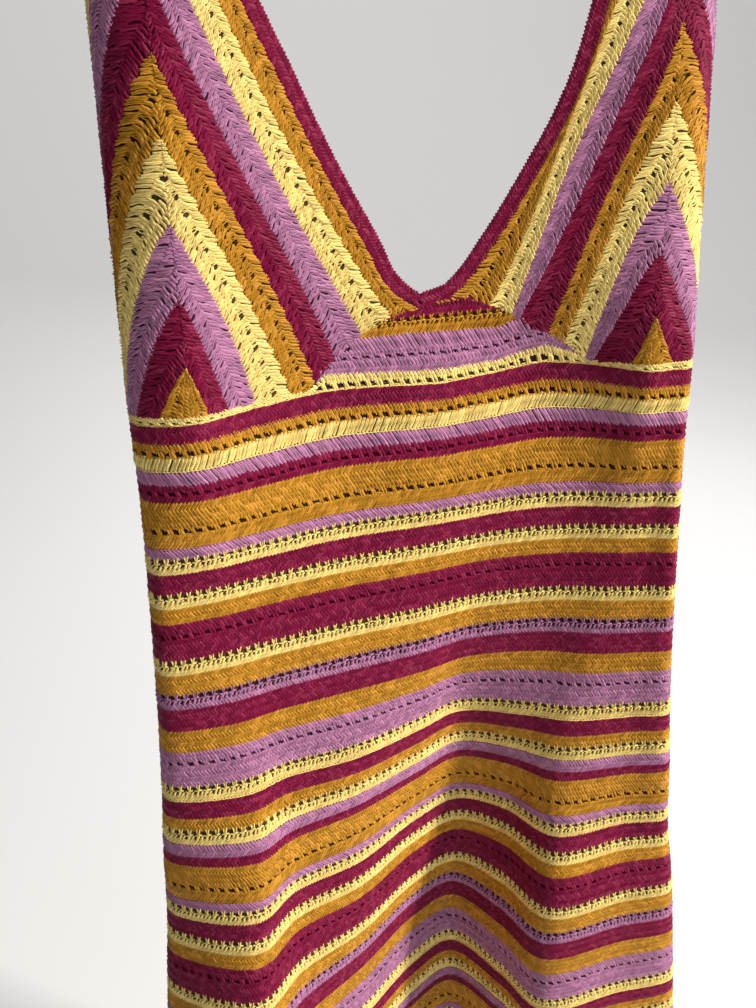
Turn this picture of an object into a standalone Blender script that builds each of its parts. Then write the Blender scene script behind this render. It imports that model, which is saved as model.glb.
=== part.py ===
"""A crochet dress hanging flat on a plain hanger, in metres, Z up.

The front faces -Y and +X is to the right of someone who looks at it. The origin is the
inner top of the hanger's hook, where it hangs on a rod. Heights in the tables are measured
from the seam under the bust, and depths from a plane near the front of the cups.
"""
import math

import bmesh
import bpy
import numpy as np

# Driving dimensions
WALL = 0.0022
SEAM_GAP = 0.0003
HEM_HEIGHT = -0.680
SEAM_ROW_HEIGHT = 0.0068

BAR_RADIUS = 0.0070
BAR_DEPTH = 0.0220
BAR_CROWN_HEIGHT = 0.3253
BAR_SLOPE = 0.32
BAR_CROWN_RUN = 0.030
BAR_HALF_LENGTH = 0.205
CLEAR_OF_BAR_HEIGHT = 0.240
SHOULDER_STEP = math.radians(4)
EDGE_STEP = 0.025

WIRE_RADIUS = 0.0018
HOOK_RADIUS = 0.021
HOOK_RISE = 0.075
HOOK_TURN = 0.030
HOOK_END_ANGLE = math.radians(-42)

APEX_X = 0.137
STRAP_HALF = 0.021
STRAP_TAPER = 0.60
STRAP_TAPER_TOP = 0.262
BRIDGE_HALF = 0.082
BRIDGE_SLOPE = 0.545
BRIDGE_END_CUT = 0.004
CUP_TIP_X = 0.0006
EDGING_WIDTH = 0.0080
NECK_ROWS = 25
NECK_ROWS_CLOSER_LOW = 1.3
NECK_TOP_HEIGHT = 0.2963
BAND_TOP = 0.045
BAND_DIP = 0.007
BAND_DIP_HALF = 0.100
STRAP_FREE_RUN = 0.060

HOOK_CENTRE_HEIGHT = BAR_CROWN_HEIGHT + BAR_RADIUS + SEAM_GAP + HOOK_RISE
SEAM_BELOW_HOOK = HOOK_CENTRE_HEIGHT + HOOK_RADIUS - WIRE_RADIUS

# One row for each level section of the dress. All are in metres. half is half the width,
# side the depth of the outermost point; ridge, slope, flank, middle, trough, wall, crest and
# face are depths of the front from left to right, and the names in _x their places across.
# back_l, back_m, back_t and back_r are depths of the back.
SECTION_COLUMNS = (
    "height", "half", "side", "ridge_x", "ridge", "slope", "flank", "middle", "trough_x", "trough",
    "wall_x", "wall", "crest_x", "crest", "face", "back_l", "back_m", "back_t", "back_r",
)
SECTIONS = np.array([
    (-0.680, .221, .004, .150, -.054, -.018, .025, .068, .038, .086, .070, .038, .095, -.013, -.010, .055, .082, .101, .046),
    (-0.560, .210, .005, .142, -.046, -.014, .024, .064, .038, .080, .068, .036, .090, -.009, -.008, .054, .077, .095, .047),
    (-0.460, .200, .006, .137, -.038, -.008, .023, .061, .038, .075, .066, .036, .086, -.005, -.005, .053, .073, .089, .048),
    (-0.410, .195, .008, .134, -.032, -.004, .018, .054, .039, .069, .068, .040, .090, -.004, -.003, .052, .068, .084, .048),
    (-0.367, .190, .012, .130, -.022, +.001, .018, .051, .038, .066, .069, .045, .095, +.004, +.004, .051, .064, .081, .049),
    (-0.307, .186, .013, .125, -.013, +.002, .017, .041, .037, .057, .072, .038, .098, +.013, +.006, .050, .058, .073, .049),
    (-0.265, .182, .013, .126, -.006, +.005, .013, .033, .034, .047, .075, .030, .106, +.013, +.006, .049, .054, .064, .049),
    (-0.195, .177, .013, .130, -.001, +.006, .014, .022, .036, .031, .090, .024, .120, +.012, +.005, .048, .050, .054, .048),
    (-0.120, .173, .012, .136, +.001, +.008, .016, .020, .048, .025, .100, .020, .134, +.010, +.006, .047, .048, .050, .047),
    (-0.040, .170, .012, .137, -.007, +.004, .017, .018, .078, .024, .110, .017, .137, +.003, +.002, .046, .046, .048, .046),
    (+0.000, .170, .012, .137, -.009, +.005, .018, .019, .070, .026, .106, .017, .137, -.001, +.000, .046, .046, .047, .046),
    (+0.070, .168, .013, .137, -.009, +.002, .014, .019, .050, .015, .100, .004, .137, -.005, -.003, .046, .046, .046, .046),
    (+0.140, .166, .014, .137, -.008, +.001, .013, .018, .050, .013, .100, .002, .137, -.006, -.004, .044, .044, .044, .044),
    (+0.210, .164, .015, .137, -.004, +.001, .012, .016, .050, .012, .100, .002, .137, -.003, -.001, .040, .040, .040, .040),
    (+0.245, .164, .019, .137, +.004, +.006, .012, .014, .050, .012, .100, .007, .137, +.005, +.006, .036, .036, .036, .036),
    (+0.272, .165, .022, .137, .0120, .0123, .0125, .0125, .050, .0125, .100, .0123, .137, .0120, .0122, .032, .032, .032, .032),
    (+0.320, .165, .022, .137, .0125, .0125, .0125, .0125, .050, .0125, .100, .0125, .137, .0125, .0125, .0315, .0315, .0315, .0315),
])
SLOPE_X = -0.100
FLANK_X = -0.050
FACE_X = 0.152
BACK_L_X = -0.110
BACK_M_X = -0.030
BACK_R_X = 0.120
SIDE_ROUND_X = 0.005
SIDE_ROUND_Y = 0.011

# The stations of a section, counted from the left side seam round the front to the back.
LEFT_SEAM, LEFT_RIDGE, RIGHT_RIDGE, RIGHT_SEAM, STATIONS = 0, 3, 9, 13, 18

# The edge of the V neck from its point to the shoulder: height, left x, right x. The neck hangs
# a little towards the right.
NECKLINE = np.array([
    (0.0620, 0.0000, 0.0000), (0.0645, 0.0060, 0.0120), (0.0700, 0.0112, 0.0220), (0.0840, 0.0195, 0.0330),
    (0.1010, 0.0295, 0.0440), (0.1180, 0.0388, 0.0540), (0.1340, 0.0470, 0.0632), (0.1500, 0.0548, 0.0715),
    (0.1650, 0.0618, 0.0780), (0.1800, 0.0685, 0.0830), (0.2040, 0.0800, 0.0893), (0.2400, 0.0955, 0.0985),
    (0.2700, 0.1080, 0.1075), (0.2963, 0.1170, 0.1155), (0.3100, 0.1190, 0.1190),
])

# The back straps' inner and outer edges: height, inner x, outer x.
BACK_STRAP = np.array([(0.045, 0.108, 0.146), (0.200, 0.112, 0.148), (0.275, 0.117, 0.157), (0.320, 0.118, 0.158)])

COLOURS = {
    "raspberry": ((0.30, 0.008, 0.075), 0.85, 0.0),
    "golden": ((0.68, 0.27, 0.025), 0.85, 0.0),
    "lemon": ((0.82, 0.72, 0.26), 0.85, 0.0),
    "orchid": ((0.46, 0.19, 0.44), 0.85, 0.0),
    "birch": ((0.66, 0.50, 0.33), 0.50, 0.0),
    "steel": ((0.60, 0.60, 0.60), 0.30, 1.0),
}


def smooth(knots, values, places):
    """A cubic through the rows of values at the knots, with slopes from the neighbours on each side."""
    knots, values, places = np.asarray(knots), np.asarray(values), np.asarray(places)
    width = np.diff(knots)
    rise = np.diff(values, axis=0) / width[:, None]
    inner = (rise[:-1] * width[1:, None] + rise[1:] * width[:-1, None]) / (width[:-1] + width[1:])[:, None]
    slope = np.concatenate([rise[:1], inner, rise[-1:]])
    span = np.clip(np.searchsorted(knots, places, side="right") - 1, 0, len(width) - 1)
    step = width[span]
    t = ((places - knots[span]) / step)[:, None]
    step = step[:, None]
    start, end = values[span], values[span + 1]
    return (
        start * (1 + 2 * t) * (1 - t) ** 2
        + end * t * t * (3 - 2 * t)
        + slope[span] * step * t * (1 - t) ** 2
        - slope[span + 1] * step * t * t * (1 - t)
    )


def section_points(height):
    """The stations of the level section at a height, in order round the dress."""
    row = dict(zip(SECTION_COLUMNS, smooth(SECTIONS[:, 0], SECTIONS, [height])[0]))
    near_x = row["half"] - SIDE_ROUND_X
    front_y, back_y = row["side"] - SIDE_ROUND_Y, row["side"] + SIDE_ROUND_Y
    points = np.array([
        (-near_x, back_y),
        (-row["half"], row["side"]),
        (-near_x, front_y),
        (-row["ridge_x"], row["ridge"]),
        (SLOPE_X, row["slope"]),
        (FLANK_X, row["flank"]),
        (0.0, row["middle"]),
        (row["trough_x"], row["trough"]),
        (row["wall_x"], row["wall"]),
        (row["crest_x"], row["crest"]),
        (FACE_X, row["face"]),
        (near_x, front_y),
        (row["half"], row["side"]),
        (near_x, back_y),
        (BACK_R_X, row["back_r"]),
        (row["trough_x"], row["back_t"]),
        (BACK_M_X, row["back_m"]),
        (BACK_L_X, row["back_l"]),
    ])
    if height > CLEAR_OF_BAR_HEIGHT:
        reach = BAR_RADIUS + SEAM_GAP + WALL
        front = slice(LEFT_SEAM + 1, RIGHT_SEAM)
        points[front, 1] = np.minimum(points[front, 1], BAR_DEPTH - reach)
        points[RIGHT_SEAM + 1 :, 1] = np.maximum(points[RIGHT_SEAM + 1 :, 1], BAR_DEPTH + reach)
    return points


def section(height, stations):
    """Points of the closed section curve at places given in stations, such as 2.5 between two of them."""
    points = section_points(height)
    lead = 3
    ring = np.concatenate([points[-lead:], points, points[: lead + 1]])
    chord = np.sqrt(np.linalg.norm(np.diff(ring, axis=0), axis=1))
    knots = np.concatenate([[0.0], np.cumsum(chord)])
    places = np.interp(np.asarray(stations) + lead, np.arange(len(ring)), knots)
    return smooth(knots, ring, places)


def bar_height(x):
    """Height of the hanger bar's middle line above the bust seam."""
    return BAR_CROWN_HEIGHT - BAR_SLOPE * (np.sqrt(np.square(x) + BAR_CROWN_RUN**2) - BAR_CROWN_RUN)


def bar_tilt(x):
    """How much longer the bar's upright cut is than its round one, where it slopes."""
    slope = BAR_SLOPE * np.asarray(x) / np.sqrt(np.square(x) + BAR_CROWN_RUN**2)
    return np.sqrt(1 + slope**2)


def over_bar(x, angle):
    """Depth and height of the cloth's outer face round the bar: angle 0 is its front, pi its back."""
    reach = BAR_RADIUS + SEAM_GAP + WALL
    return BAR_DEPTH - reach * np.cos(angle), bar_height(x) + reach * bar_tilt(x) * np.sin(angle)


def turn_angles(rows=4):
    """Angles from the bar's front to the shoulder seam on its top, with a short last step."""
    last = math.pi / 2 - 0.5 * SEAM_GAP / BAR_RADIUS
    return [*(np.arange(1, rows) * last / rows), last - SHOULDER_STEP, last]


def front_depth(x, height):
    """Depth of the front at a place between the two ridges, or of the strap past them."""
    curve = section(height, np.linspace(LEFT_SEAM + 1, RIGHT_SEAM - 1, 300))
    return np.interp(x, curve[:, 0], curve[:, 1])


def back_depth(x, height):
    """Depth of the back at a place across."""
    curve = section(height, np.linspace(RIGHT_SEAM, STATIONS, 160))
    return np.interp(x, curve[::-1, 0], curve[::-1, 1])


def past_ridge(side, distance, height):
    """The point that lies a distance round the side from the cup's apex line."""
    seam, ridge = (LEFT_SEAM, LEFT_RIDGE) if side < 0 else (RIGHT_SEAM, RIGHT_RIDGE)
    curve = section(height, np.linspace(ridge, seam, 80))
    run = np.concatenate([[0.0], np.cumsum(np.linalg.norm(np.diff(curve, axis=0), axis=1))])
    reach = min(distance, run[-1] - SEAM_GAP / 2)
    return np.interp(reach, run, curve[:, 0]), np.interp(reach, run, curve[:, 1]), run[-1]


def neck_line(side, inset):
    """One side of the V neck's edge from its point to the bar, moved into the cloth square to itself."""
    part = np.linspace(0, 1, NECK_ROWS) ** NECK_ROWS_CLOSER_LOW
    heights = NECKLINE[0, 0] + (NECK_TOP_HEIGHT - NECKLINE[0, 0]) * part
    line = smooth(NECKLINE[:, 0], NECKLINE[:, [1 if side < 0 else 2, 0]], heights)
    way = np.gradient(line, axis=0)
    way /= np.linalg.norm(way, axis=1)[:, None]
    way[0] = (1.0, 0.0)
    moved = line + inset * np.stack([way[:, 1], -way[:, 0]], axis=1)
    moved[-1, 1] = bar_height(moved[-1, 0])
    return moved


def grid_mesh(name, points, flip=False):
    """An open surface from a grid of points, rows going up and columns going left to right in front."""
    rows, columns = points.shape[:2]
    index = np.arange(rows * columns).reshape(rows, columns)
    faces = np.stack([index[:-1, :-1], index[:-1, 1:], index[1:, 1:], index[1:, :-1]], axis=-1).reshape(-1, 4)
    if flip:
        faces = faces[:, ::-1]
    mesh = bpy.data.meshes.new(name)
    mesh.from_pydata(points.reshape(-1, 3).tolist(), [], faces.tolist())
    mesh.update()
    return mesh


def make_material(name):
    colour, roughness, metallic = COLOURS[name]
    material = bpy.data.materials.get(name) or bpy.data.materials.new(name)
    material.use_nodes = True
    shader = material.node_tree.nodes["Principled BSDF"]
    shader.inputs["Base Color"].default_value = (*colour, 1.0)
    shader.inputs["Roughness"].default_value = roughness
    shader.inputs["Metallic"].default_value = metallic
    material.diffuse_color = (*colour, 1.0)
    return material


def finish_piece(piece, colour, parent, collection):
    piece.data.materials.append(make_material(colour))
    collection.objects.link(piece)
    piece.parent = parent
    return piece


def cloth_piece(name, points, colour, parent, collection, flip=False):
    """A cloth wall: the outer face is the grid of points, and its thickness goes inwards."""
    piece = bpy.data.objects.new(name, grid_mesh(name, points, flip))
    wall = piece.modifiers.new("wall", "SOLIDIFY")
    wall.thickness = WALL
    wall.offset = -1.0
    wall.use_even_offset = True
    piece.data.polygons.foreach_set("use_smooth", [True] * len(piece.data.polygons))
    return finish_piece(piece, colour, parent, collection)


def columns_between(first, last, per_span, edge=0.1):
    """Places in stations from one seam to another, with a short step beside each seam."""
    places = [first + 0.5 * SEAM_GAP / SIDE_ROUND_Y, first + edge]
    for station, count in zip(range(first, last), per_span):
        places += [station + part / count for part in range(count)]
    places += [last - edge, last - 0.5 * SEAM_GAP / SIDE_ROUND_Y]
    return np.array(sorted(place for place in places if place > first))


def ring_piece(name, colour, parent, collection, stations, heights, top=None):
    """A piece of the tube between two side seams, with an optional curved top edge."""
    rows = []
    for height in heights:
        curve = section(height, stations)
        level = np.full(len(stations), height)
        if top is not None:
            part = (height - heights[0]) / (heights[-1] - heights[0])
            level = heights[0] + (top(curve[:, 0]) - heights[0]) * part
        rows.append(np.column_stack([curve, level]))
    return cloth_piece(name, np.array(rows), colour, parent, collection)


def cup_grid(side, columns=7):
    """A bust panel with its strap: columns from the neck edge over the apex line to the armhole."""
    base = SEAM_ROW_HEIGHT + SEAM_GAP / 2
    line = neck_line(side, EDGING_WIDTH + SEAM_GAP)
    tip = (CUP_TIP_X, base + BRIDGE_SLOPE * (BRIDGE_HALF - CUP_TIP_X))
    line = np.concatenate([[tip], np.maximum(line, (CUP_TIP_X, 0.0))])
    top_x = line[-1, 0]
    grid = []
    for edge_x, edge_z in line:
        v = (edge_z - line[0, 1]) / (line[-1, 1] - line[0, 1])
        row = []
        for u in np.linspace(1, 0, columns, endpoint=False):
            top = bar_height(APEX_X - u * (APEX_X - top_x))
            foot = base + BRIDGE_SLOPE * max(0.0, BRIDGE_HALF - APEX_X + u * (APEX_X - CUP_TIP_X))
            height = foot + (top - foot) * v
            x = side * (APEX_X - u * (APEX_X - edge_x))
            row.append((x, front_depth(x, height), height))
        for u in (*(np.arange(columns - 1) / (columns - 1)), 1 - EDGE_STEP, 1.0):
            height = base + (bar_height(APEX_X + u * STRAP_HALF) - base) * v
            taper = STRAP_HALF + STRAP_TAPER * max(0.0, STRAP_TAPER_TOP - height)
            reach = u * min(taper, past_ridge(side, math.inf, height)[2])
            x, y, _ = past_ridge(side, reach, height)
            row.append((x, y, height))
        grid.append(row)
    straight = grid[-1]
    for angle in turn_angles():
        grid.append([(x, *over_bar(x, angle)) for x, _, _ in straight])
    return np.array(grid)


def back_strap_grid(side, rows=12, columns=5):
    """A plain strap from the back band up and over the bar to the shoulder seam."""
    grid = []
    for v in np.linspace(0, 1, rows):
        line = []
        for u in np.linspace(0, 1, columns):
            top_x = BACK_STRAP[-1, 1] + u * (BACK_STRAP[-1, 2] - BACK_STRAP[-1, 1])
            foot = BAND_TOP + SEAM_GAP
            height = foot + (bar_height(top_x) - foot) * v
            inner = np.interp(height, BACK_STRAP[:, 0], BACK_STRAP[:, 1])
            outer = np.interp(height, BACK_STRAP[:, 0], BACK_STRAP[:, 2])
            x = side * (inner + u * (outer - inner))
            free = min(1.0, (height - foot) / STRAP_FREE_RUN)
            free *= free * (3 - 2 * free)
            depth = back_depth(x, height) * (1 - free) + back_depth(BACK_R_X, height) * free
            line.append((x, depth, height))
        grid.append(line)
    for angle in turn_angles():
        grid.append([(x, *over_bar(x, math.pi - angle)) for x, _, _ in grid[rows - 1]])
    return np.array(grid)


def edging_grid():
    """The neck edging: a ribbon from shoulder seam to shoulder seam round the point of the V."""
    sides = []
    for side in (-1, 1):
        pairs = np.stack([neck_line(side, 0.0), neck_line(side, EDGING_WIDTH)], axis=1)
        rows = [[(side * x, front_depth(side * x, z), z) for x, z in pair] for pair in pairs]
        straight = rows[-1]
        rows += [[(x, *over_bar(x, angle)) for x, _, _ in straight] for angle in turn_angles()]
        sides.append(rows)
    left, right = sides
    return np.array(left[::-1] + right[1:])


def bridge_grid(columns=17, rows=4):
    """The gusset between the cups: a low triangle standing on the bust seam."""
    foot = SEAM_ROW_HEIGHT + SEAM_GAP / 2
    reach = BRIDGE_HALF - BRIDGE_END_CUT
    grid = []
    for v in np.linspace(0, 1, rows):
        line = []
        for x in np.linspace(-reach, reach, columns):
            top = foot + BRIDGE_SLOPE * (BRIDGE_HALF - max(abs(x), CUP_TIP_X)) - 1.2 * SEAM_GAP
            height = foot + (top - foot) * v
            line.append((x, front_depth(x, height), height))
        grid.append(line)
    return np.array(grid)


def tube_piece(name, points, radius, colour, parent, collection, resolution=2):
    """A round bar or wire along a list of points, with closed ends."""
    curve = bpy.data.curves.new(name, "CURVE")
    curve.dimensions = "3D"
    curve.bevel_depth = radius
    curve.bevel_resolution = resolution
    curve.use_fill_caps = True
    spline = curve.splines.new("POLY")
    spline.points.add(len(points) - 1)
    for point, place in zip(spline.points, points):
        point.co = (*place, 1.0)
    spline.use_smooth = True
    return finish_piece(bpy.data.objects.new(name, curve), colour, parent, collection)


def bar_path(count=25):
    x = np.linspace(-BAR_HALF_LENGTH, BAR_HALF_LENGTH, count)
    return np.column_stack([x, np.full(count, BAR_DEPTH), bar_height(x)])


def hook_path():
    """The hook's stem leaves the bar's middle, swings out to one side and turns over the rod."""
    foot = BAR_CROWN_HEIGHT + BAR_RADIUS + SEAM_GAP
    rise = HOOK_RISE - HOOK_TURN
    points = [(0.0, foot), (0.0, foot + rise * 0.5), (0.0, foot + rise)]
    for part in np.linspace(0, 1, 7)[1:-1]:
        ease = part * part * (3 - 2 * part)
        points.append((-HOOK_RADIUS * ease, foot + rise + HOOK_TURN * part))
    for angle in np.linspace(math.pi, HOOK_END_ANGLE, 18):
        points.append((HOOK_RADIUS * math.cos(angle), HOOK_CENTRE_HEIGHT + HOOK_RADIUS * math.sin(angle)))
    return [(x, BAR_DEPTH, z) for x, z in points]


def clear_scene():
    for item in list(bpy.data.objects):
        bpy.data.objects.remove(item, do_unlink=True)


def main():
    clear_scene()
    collection = bpy.data.collections.new("crochet_dress")
    bpy.context.scene.collection.children.link(collection)
    hook = bpy.data.objects.new("hanging_point", None)
    collection.objects.link(hook)
    seam = bpy.data.objects.new("bust_seam_centre", None)
    seam.parent = hook
    seam.location = (0.0, -BAR_DEPTH, -SEAM_BELOW_HOOK)
    collection.objects.link(seam)

    front = columns_between(LEFT_SEAM, RIGHT_SEAM, (2, 2, 4, 4, 4, 5, 4, 4, 4, 3, 2, 2, 2))
    back = columns_between(RIGHT_SEAM, STATIONS, (5, 5, 4, 5, 5), edge=EDGE_STEP)
    skirt_heights = np.linspace(HEM_HEIGHT, -SEAM_GAP / 2, 31)
    ring_piece("skirt_front", "raspberry", seam, collection, front, skirt_heights)
    ring_piece("skirt_back", "golden", seam, collection, back, skirt_heights[::2])

    row_heights = np.array([SEAM_GAP / 2, SEAM_ROW_HEIGHT - SEAM_GAP / 2])
    ring_piece("under_bust_row_front", "lemon", seam, collection, front, row_heights)
    ring_piece("under_bust_row_back", "lemon", seam, collection, back, row_heights)

    band_heights = np.linspace(SEAM_ROW_HEIGHT + SEAM_GAP / 2, BAND_TOP, 4)
    ring_piece(
        "back_band", "golden", seam, collection, back, band_heights,
        top=lambda x: BAND_TOP - BAND_DIP * np.maximum(0.0, 1 - (x / BAND_DIP_HALF) ** 2),
    )
    for side, name in ((-1, "left"), (1, "right")):
        cloth_piece(f"cup_{name}", cup_grid(side), "golden", seam, collection, flip=side < 0)
        cloth_piece(
            f"back_strap_{name}", back_strap_grid(side), "orchid", seam, collection, flip=side > 0
        )
    cloth_piece("neck_edging", edging_grid(), "raspberry", seam, collection)
    cloth_piece("bridge", bridge_grid(), "orchid", seam, collection)
    tube_piece("hanger_bar", bar_path(), BAR_RADIUS, "birch", seam, collection)
    tube_piece("hanger_hook", hook_path(), WIRE_RADIUS, "steel", seam, collection)


main()
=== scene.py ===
"""The finished look of a crochet dress on a plain hanger, in metres, Z up.

The dress faces -Y and hangs from the hook, whose inner top is the origin. Heights are measured
from the seam under the bust, and depths from a plane near the front of the cups.
"""
import math

import bpy
import numpy as np
from mathutils import Matrix, Vector


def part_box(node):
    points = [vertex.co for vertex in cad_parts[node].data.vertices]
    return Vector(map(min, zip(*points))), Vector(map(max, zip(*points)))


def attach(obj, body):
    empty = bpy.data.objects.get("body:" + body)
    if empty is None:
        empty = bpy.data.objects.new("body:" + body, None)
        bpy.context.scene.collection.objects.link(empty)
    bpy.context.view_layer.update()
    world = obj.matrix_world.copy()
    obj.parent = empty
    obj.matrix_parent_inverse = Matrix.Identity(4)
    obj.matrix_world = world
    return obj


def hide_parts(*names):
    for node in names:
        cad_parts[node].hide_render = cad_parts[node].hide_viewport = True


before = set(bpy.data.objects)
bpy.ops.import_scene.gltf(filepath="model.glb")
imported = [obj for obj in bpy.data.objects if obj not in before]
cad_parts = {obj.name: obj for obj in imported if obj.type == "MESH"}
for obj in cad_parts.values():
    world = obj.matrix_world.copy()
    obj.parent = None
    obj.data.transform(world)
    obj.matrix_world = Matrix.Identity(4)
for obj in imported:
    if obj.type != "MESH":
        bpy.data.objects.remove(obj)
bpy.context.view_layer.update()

# The camera stands in front of the dress, a little to its left and above the bust seam, and
# looks down and to the right, so that it frames the bodice and most of the skirt.
SEAM_GAP = 0.0003
BAR_DEPTH = 0.022
CAMERA_PLACE = (-0.156, -0.554, 0.204)
CAMERA_YAW = math.radians(12.55)
CAMERA_DOWN = math.radians(25.14)
CAMERA_ROLL = math.radians(-1.71)
IMAGE_HEIGHT, FOCAL_PIXELS = 1008, 1047
SENSOR_HEIGHT = 24.0

seam_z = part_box("under_bust_row_front")[0].z - SEAM_GAP / 2
to_world = np.array([0.0, -BAR_DEPTH, seam_z])

ahead = Vector((
    math.sin(CAMERA_YAW) * math.cos(CAMERA_DOWN),
    math.cos(CAMERA_YAW) * math.cos(CAMERA_DOWN),
    -math.sin(CAMERA_DOWN),
))
level = Vector((math.cos(CAMERA_YAW), -math.sin(CAMERA_YAW), 0.0))
right = level * math.cos(CAMERA_ROLL) + level.cross(ahead) * math.sin(CAMERA_ROLL)
up = right.cross(ahead)
camera = bpy.data.objects.new("camera", bpy.data.cameras.new("camera"))
camera.data.sensor_fit = "VERTICAL"
camera.data.sensor_height = SENSOR_HEIGHT
camera.data.sensor_width = SENSOR_HEIGHT
camera.data.lens = SENSOR_HEIGHT * FOCAL_PIXELS / IMAGE_HEIGHT
camera.matrix_world = (
    Matrix.Translation(Vector(CAMERA_PLACE) + Vector(to_world))
    @ Matrix((right, up, -ahead)).transposed().to_4x4()
)
bpy.context.scene.collection.objects.link(camera)
bpy.context.scene.camera = camera


class Shade:
    """One output in a material's node tree. Sums with it add Math nodes to that tree."""

    def __init__(self, tree, output=None):
        self.tree, self.output = tree, output

    def node(self, kind, settings=None, sockets=None, output=0):
        """Adds a node: its settings first, then the values or links of its sockets."""
        made = self.tree.nodes.new(kind)
        for name, value in (settings or {}).items():
            setattr(made, name, value)
        for name, value in (sockets or {}).items():
            if isinstance(value, Shade):
                self.tree.links.new(value.output, made.inputs[name])
            else:
                made.inputs[name].default_value = value
        return Shade(self.tree, made.outputs[output])

    def math(self, operation, first, second=0.0):
        return self.node("ShaderNodeMath", {"operation": operation}, {0: first, 1: second})

    def __add__(self, other):
        return self.math("ADD", self, other)

    def __sub__(self, other):
        return self.math("SUBTRACT", self, other)

    def __rsub__(self, other):
        return self.math("SUBTRACT", other, self)

    def __mul__(self, other):
        return self.math("MULTIPLY", self, other)

    def __pow__(self, other):
        return self.math("POWER", self, other)

    __radd__, __rmul__ = __add__, __mul__

    def wave(self):
        """The sine of this value."""
        return self.math("SINE", self)

    def size(self):
        """This value without its sign."""
        return self.math("ABSOLUTE", self)

    def limit(self):
        """This value kept between 0 and 1."""
        return self.node("ShaderNodeClamp", {}, {"Value": self})

    def mix(self, first, second):
        """The first colour where this value is 0, and the second where it is 1."""
        return self.node(
            "ShaderNodeMix", {"data_type": "RGBA"}, {"Factor": self, "A": first, "B": second}, output=2
        )


def start_material(name):
    """An empty material: its shader, a place to start nodes from, and the material itself."""
    material = bpy.data.materials.new(name)
    material.use_nodes = True
    tree = material.node_tree
    return tree.nodes["Principled BSDF"], Shade(tree), material


def connect(shade, value, shader, socket):
    shade.tree.links.new(value.output, shader.inputs[socket])


def fill_mesh(name, points, faces):
    """A smooth mesh from an array of points and an array of four-cornered faces."""
    mesh = bpy.data.meshes.new(name)
    mesh.vertices.add(len(points))
    mesh.vertices.foreach_set("co", points.astype(np.float32).ravel())
    mesh.loops.add(faces.size)
    mesh.loops.foreach_set("vertex_index", faces.astype(np.int32).ravel())
    mesh.polygons.add(len(faces))
    mesh.polygons.foreach_set("loop_start", np.arange(0, faces.size, faces.shape[1], dtype=np.int32))
    mesh.polygons.foreach_set("use_smooth", np.ones(len(faces), dtype=bool))
    mesh.update(calc_edges=True)
    return mesh


def show(name, mesh):
    """Puts a mesh in the scene as a piece that rides on the dress's one body."""
    piece = bpy.data.objects.new(name, mesh)
    bpy.context.scene.collection.objects.link(piece)
    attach(piece, "root")
    return piece


# The floor lies a little below the hem and rises far behind as one smooth pale backdrop. The
# main light stands to the right and above, with weak wide ones in front and behind. Each light
# has its place, its size, its power, its colour and the place it points at.
FLOOR_BELOW_HEM = 0.25
STAGE_HALF = 40.0
WALL_AWAY = 4.0
COVE_RADIUS = 2.0
WALL_TOP = 6.0
KEY = ((2.12, -1.38, 1.10), 0.35, 120.0, (1.0, 0.965, 0.90), (0.0, 0.0, -0.12))
FILL = ((0.90, -2.30, 0.30), 1.80, 8.0, (0.97, 0.98, 1.0), (0.0, 0.0, -0.12))
RIM = ((0.60, 2.30, 0.80), 1.60, 22.0, (1.0, 0.98, 0.95), (0.0, 0.0, -0.12))
WASH = ((0.50, 0.90, 2.20), 2.50, 8.0, (0.97, 0.98, 1.0), (0.50, 4.0, 0.30))
SKY = ((0.88, 0.88, 0.90), 0.34)

floor_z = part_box("skirt_front")[0].z - FLOOR_BELOW_HEM
cove = np.linspace(0, math.pi / 2, 13)
profile = np.concatenate([
    [(-STAGE_HALF, 0.0)],
    np.column_stack([WALL_AWAY - COVE_RADIUS * (1 - np.sin(cove)), COVE_RADIUS * (1 - np.cos(cove))]),
    [(WALL_AWAY, WALL_TOP)],
])
ends = np.array([-STAGE_HALF, STAGE_HALF])
stage_points = np.stack([
    np.broadcast_to(ends, (len(profile), 2)),
    np.broadcast_to(profile[:, :1], (len(profile), 2)),
    np.broadcast_to(profile[:, 1:] + floor_z, (len(profile), 2)),
], axis=-1)
corner = np.arange(len(profile) - 1)[:, None] * 2
stage_mesh = fill_mesh("floor", stage_points.reshape(-1, 3), corner + np.array([0, 1, 3, 2]))
floor = bpy.data.objects.new("floor", stage_mesh)
bpy.context.scene.collection.objects.link(floor)

shader, shade, paper = start_material("pale_backdrop")
mottle = shade.node("ShaderNodeTexNoise", {}, {"Scale": 1.3, "Detail": 3.0})
connect(shade, mottle.mix((0.84, 0.84, 0.85, 1), (0.88, 0.87, 0.87, 1)), shader, "Base Color")
shader.inputs["Roughness"].default_value = 0.95
stage_mesh.materials.append(paper)

lights = {"key": KEY, "fill": FILL, "rim": RIM, "wash": WASH}
for light_name, (place, across, power, colour, target) in lights.items():
    lamp = bpy.data.lights.new(light_name, "AREA")
    lamp.size = across
    lamp.energy = power
    lamp.color = colour
    light = bpy.data.objects.new(light_name, lamp)
    light.location = Vector(place) + Vector((0.0, 0.0, seam_z))
    light.rotation_euler = (Vector(target) - Vector(place)).to_track_quat("-Z", "Y").to_euler()
    bpy.context.scene.collection.objects.link(light)

world = bpy.data.worlds.new("studio")
world.use_nodes = True
sky = world.node_tree.nodes["Background"]
sky.inputs["Color"].default_value = (*SKY[0], 1.0)
sky.inputs["Strength"].default_value = SKY[1]
bpy.context.scene.world = world
bpy.context.scene.view_settings.view_transform = "Standard"


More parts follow.
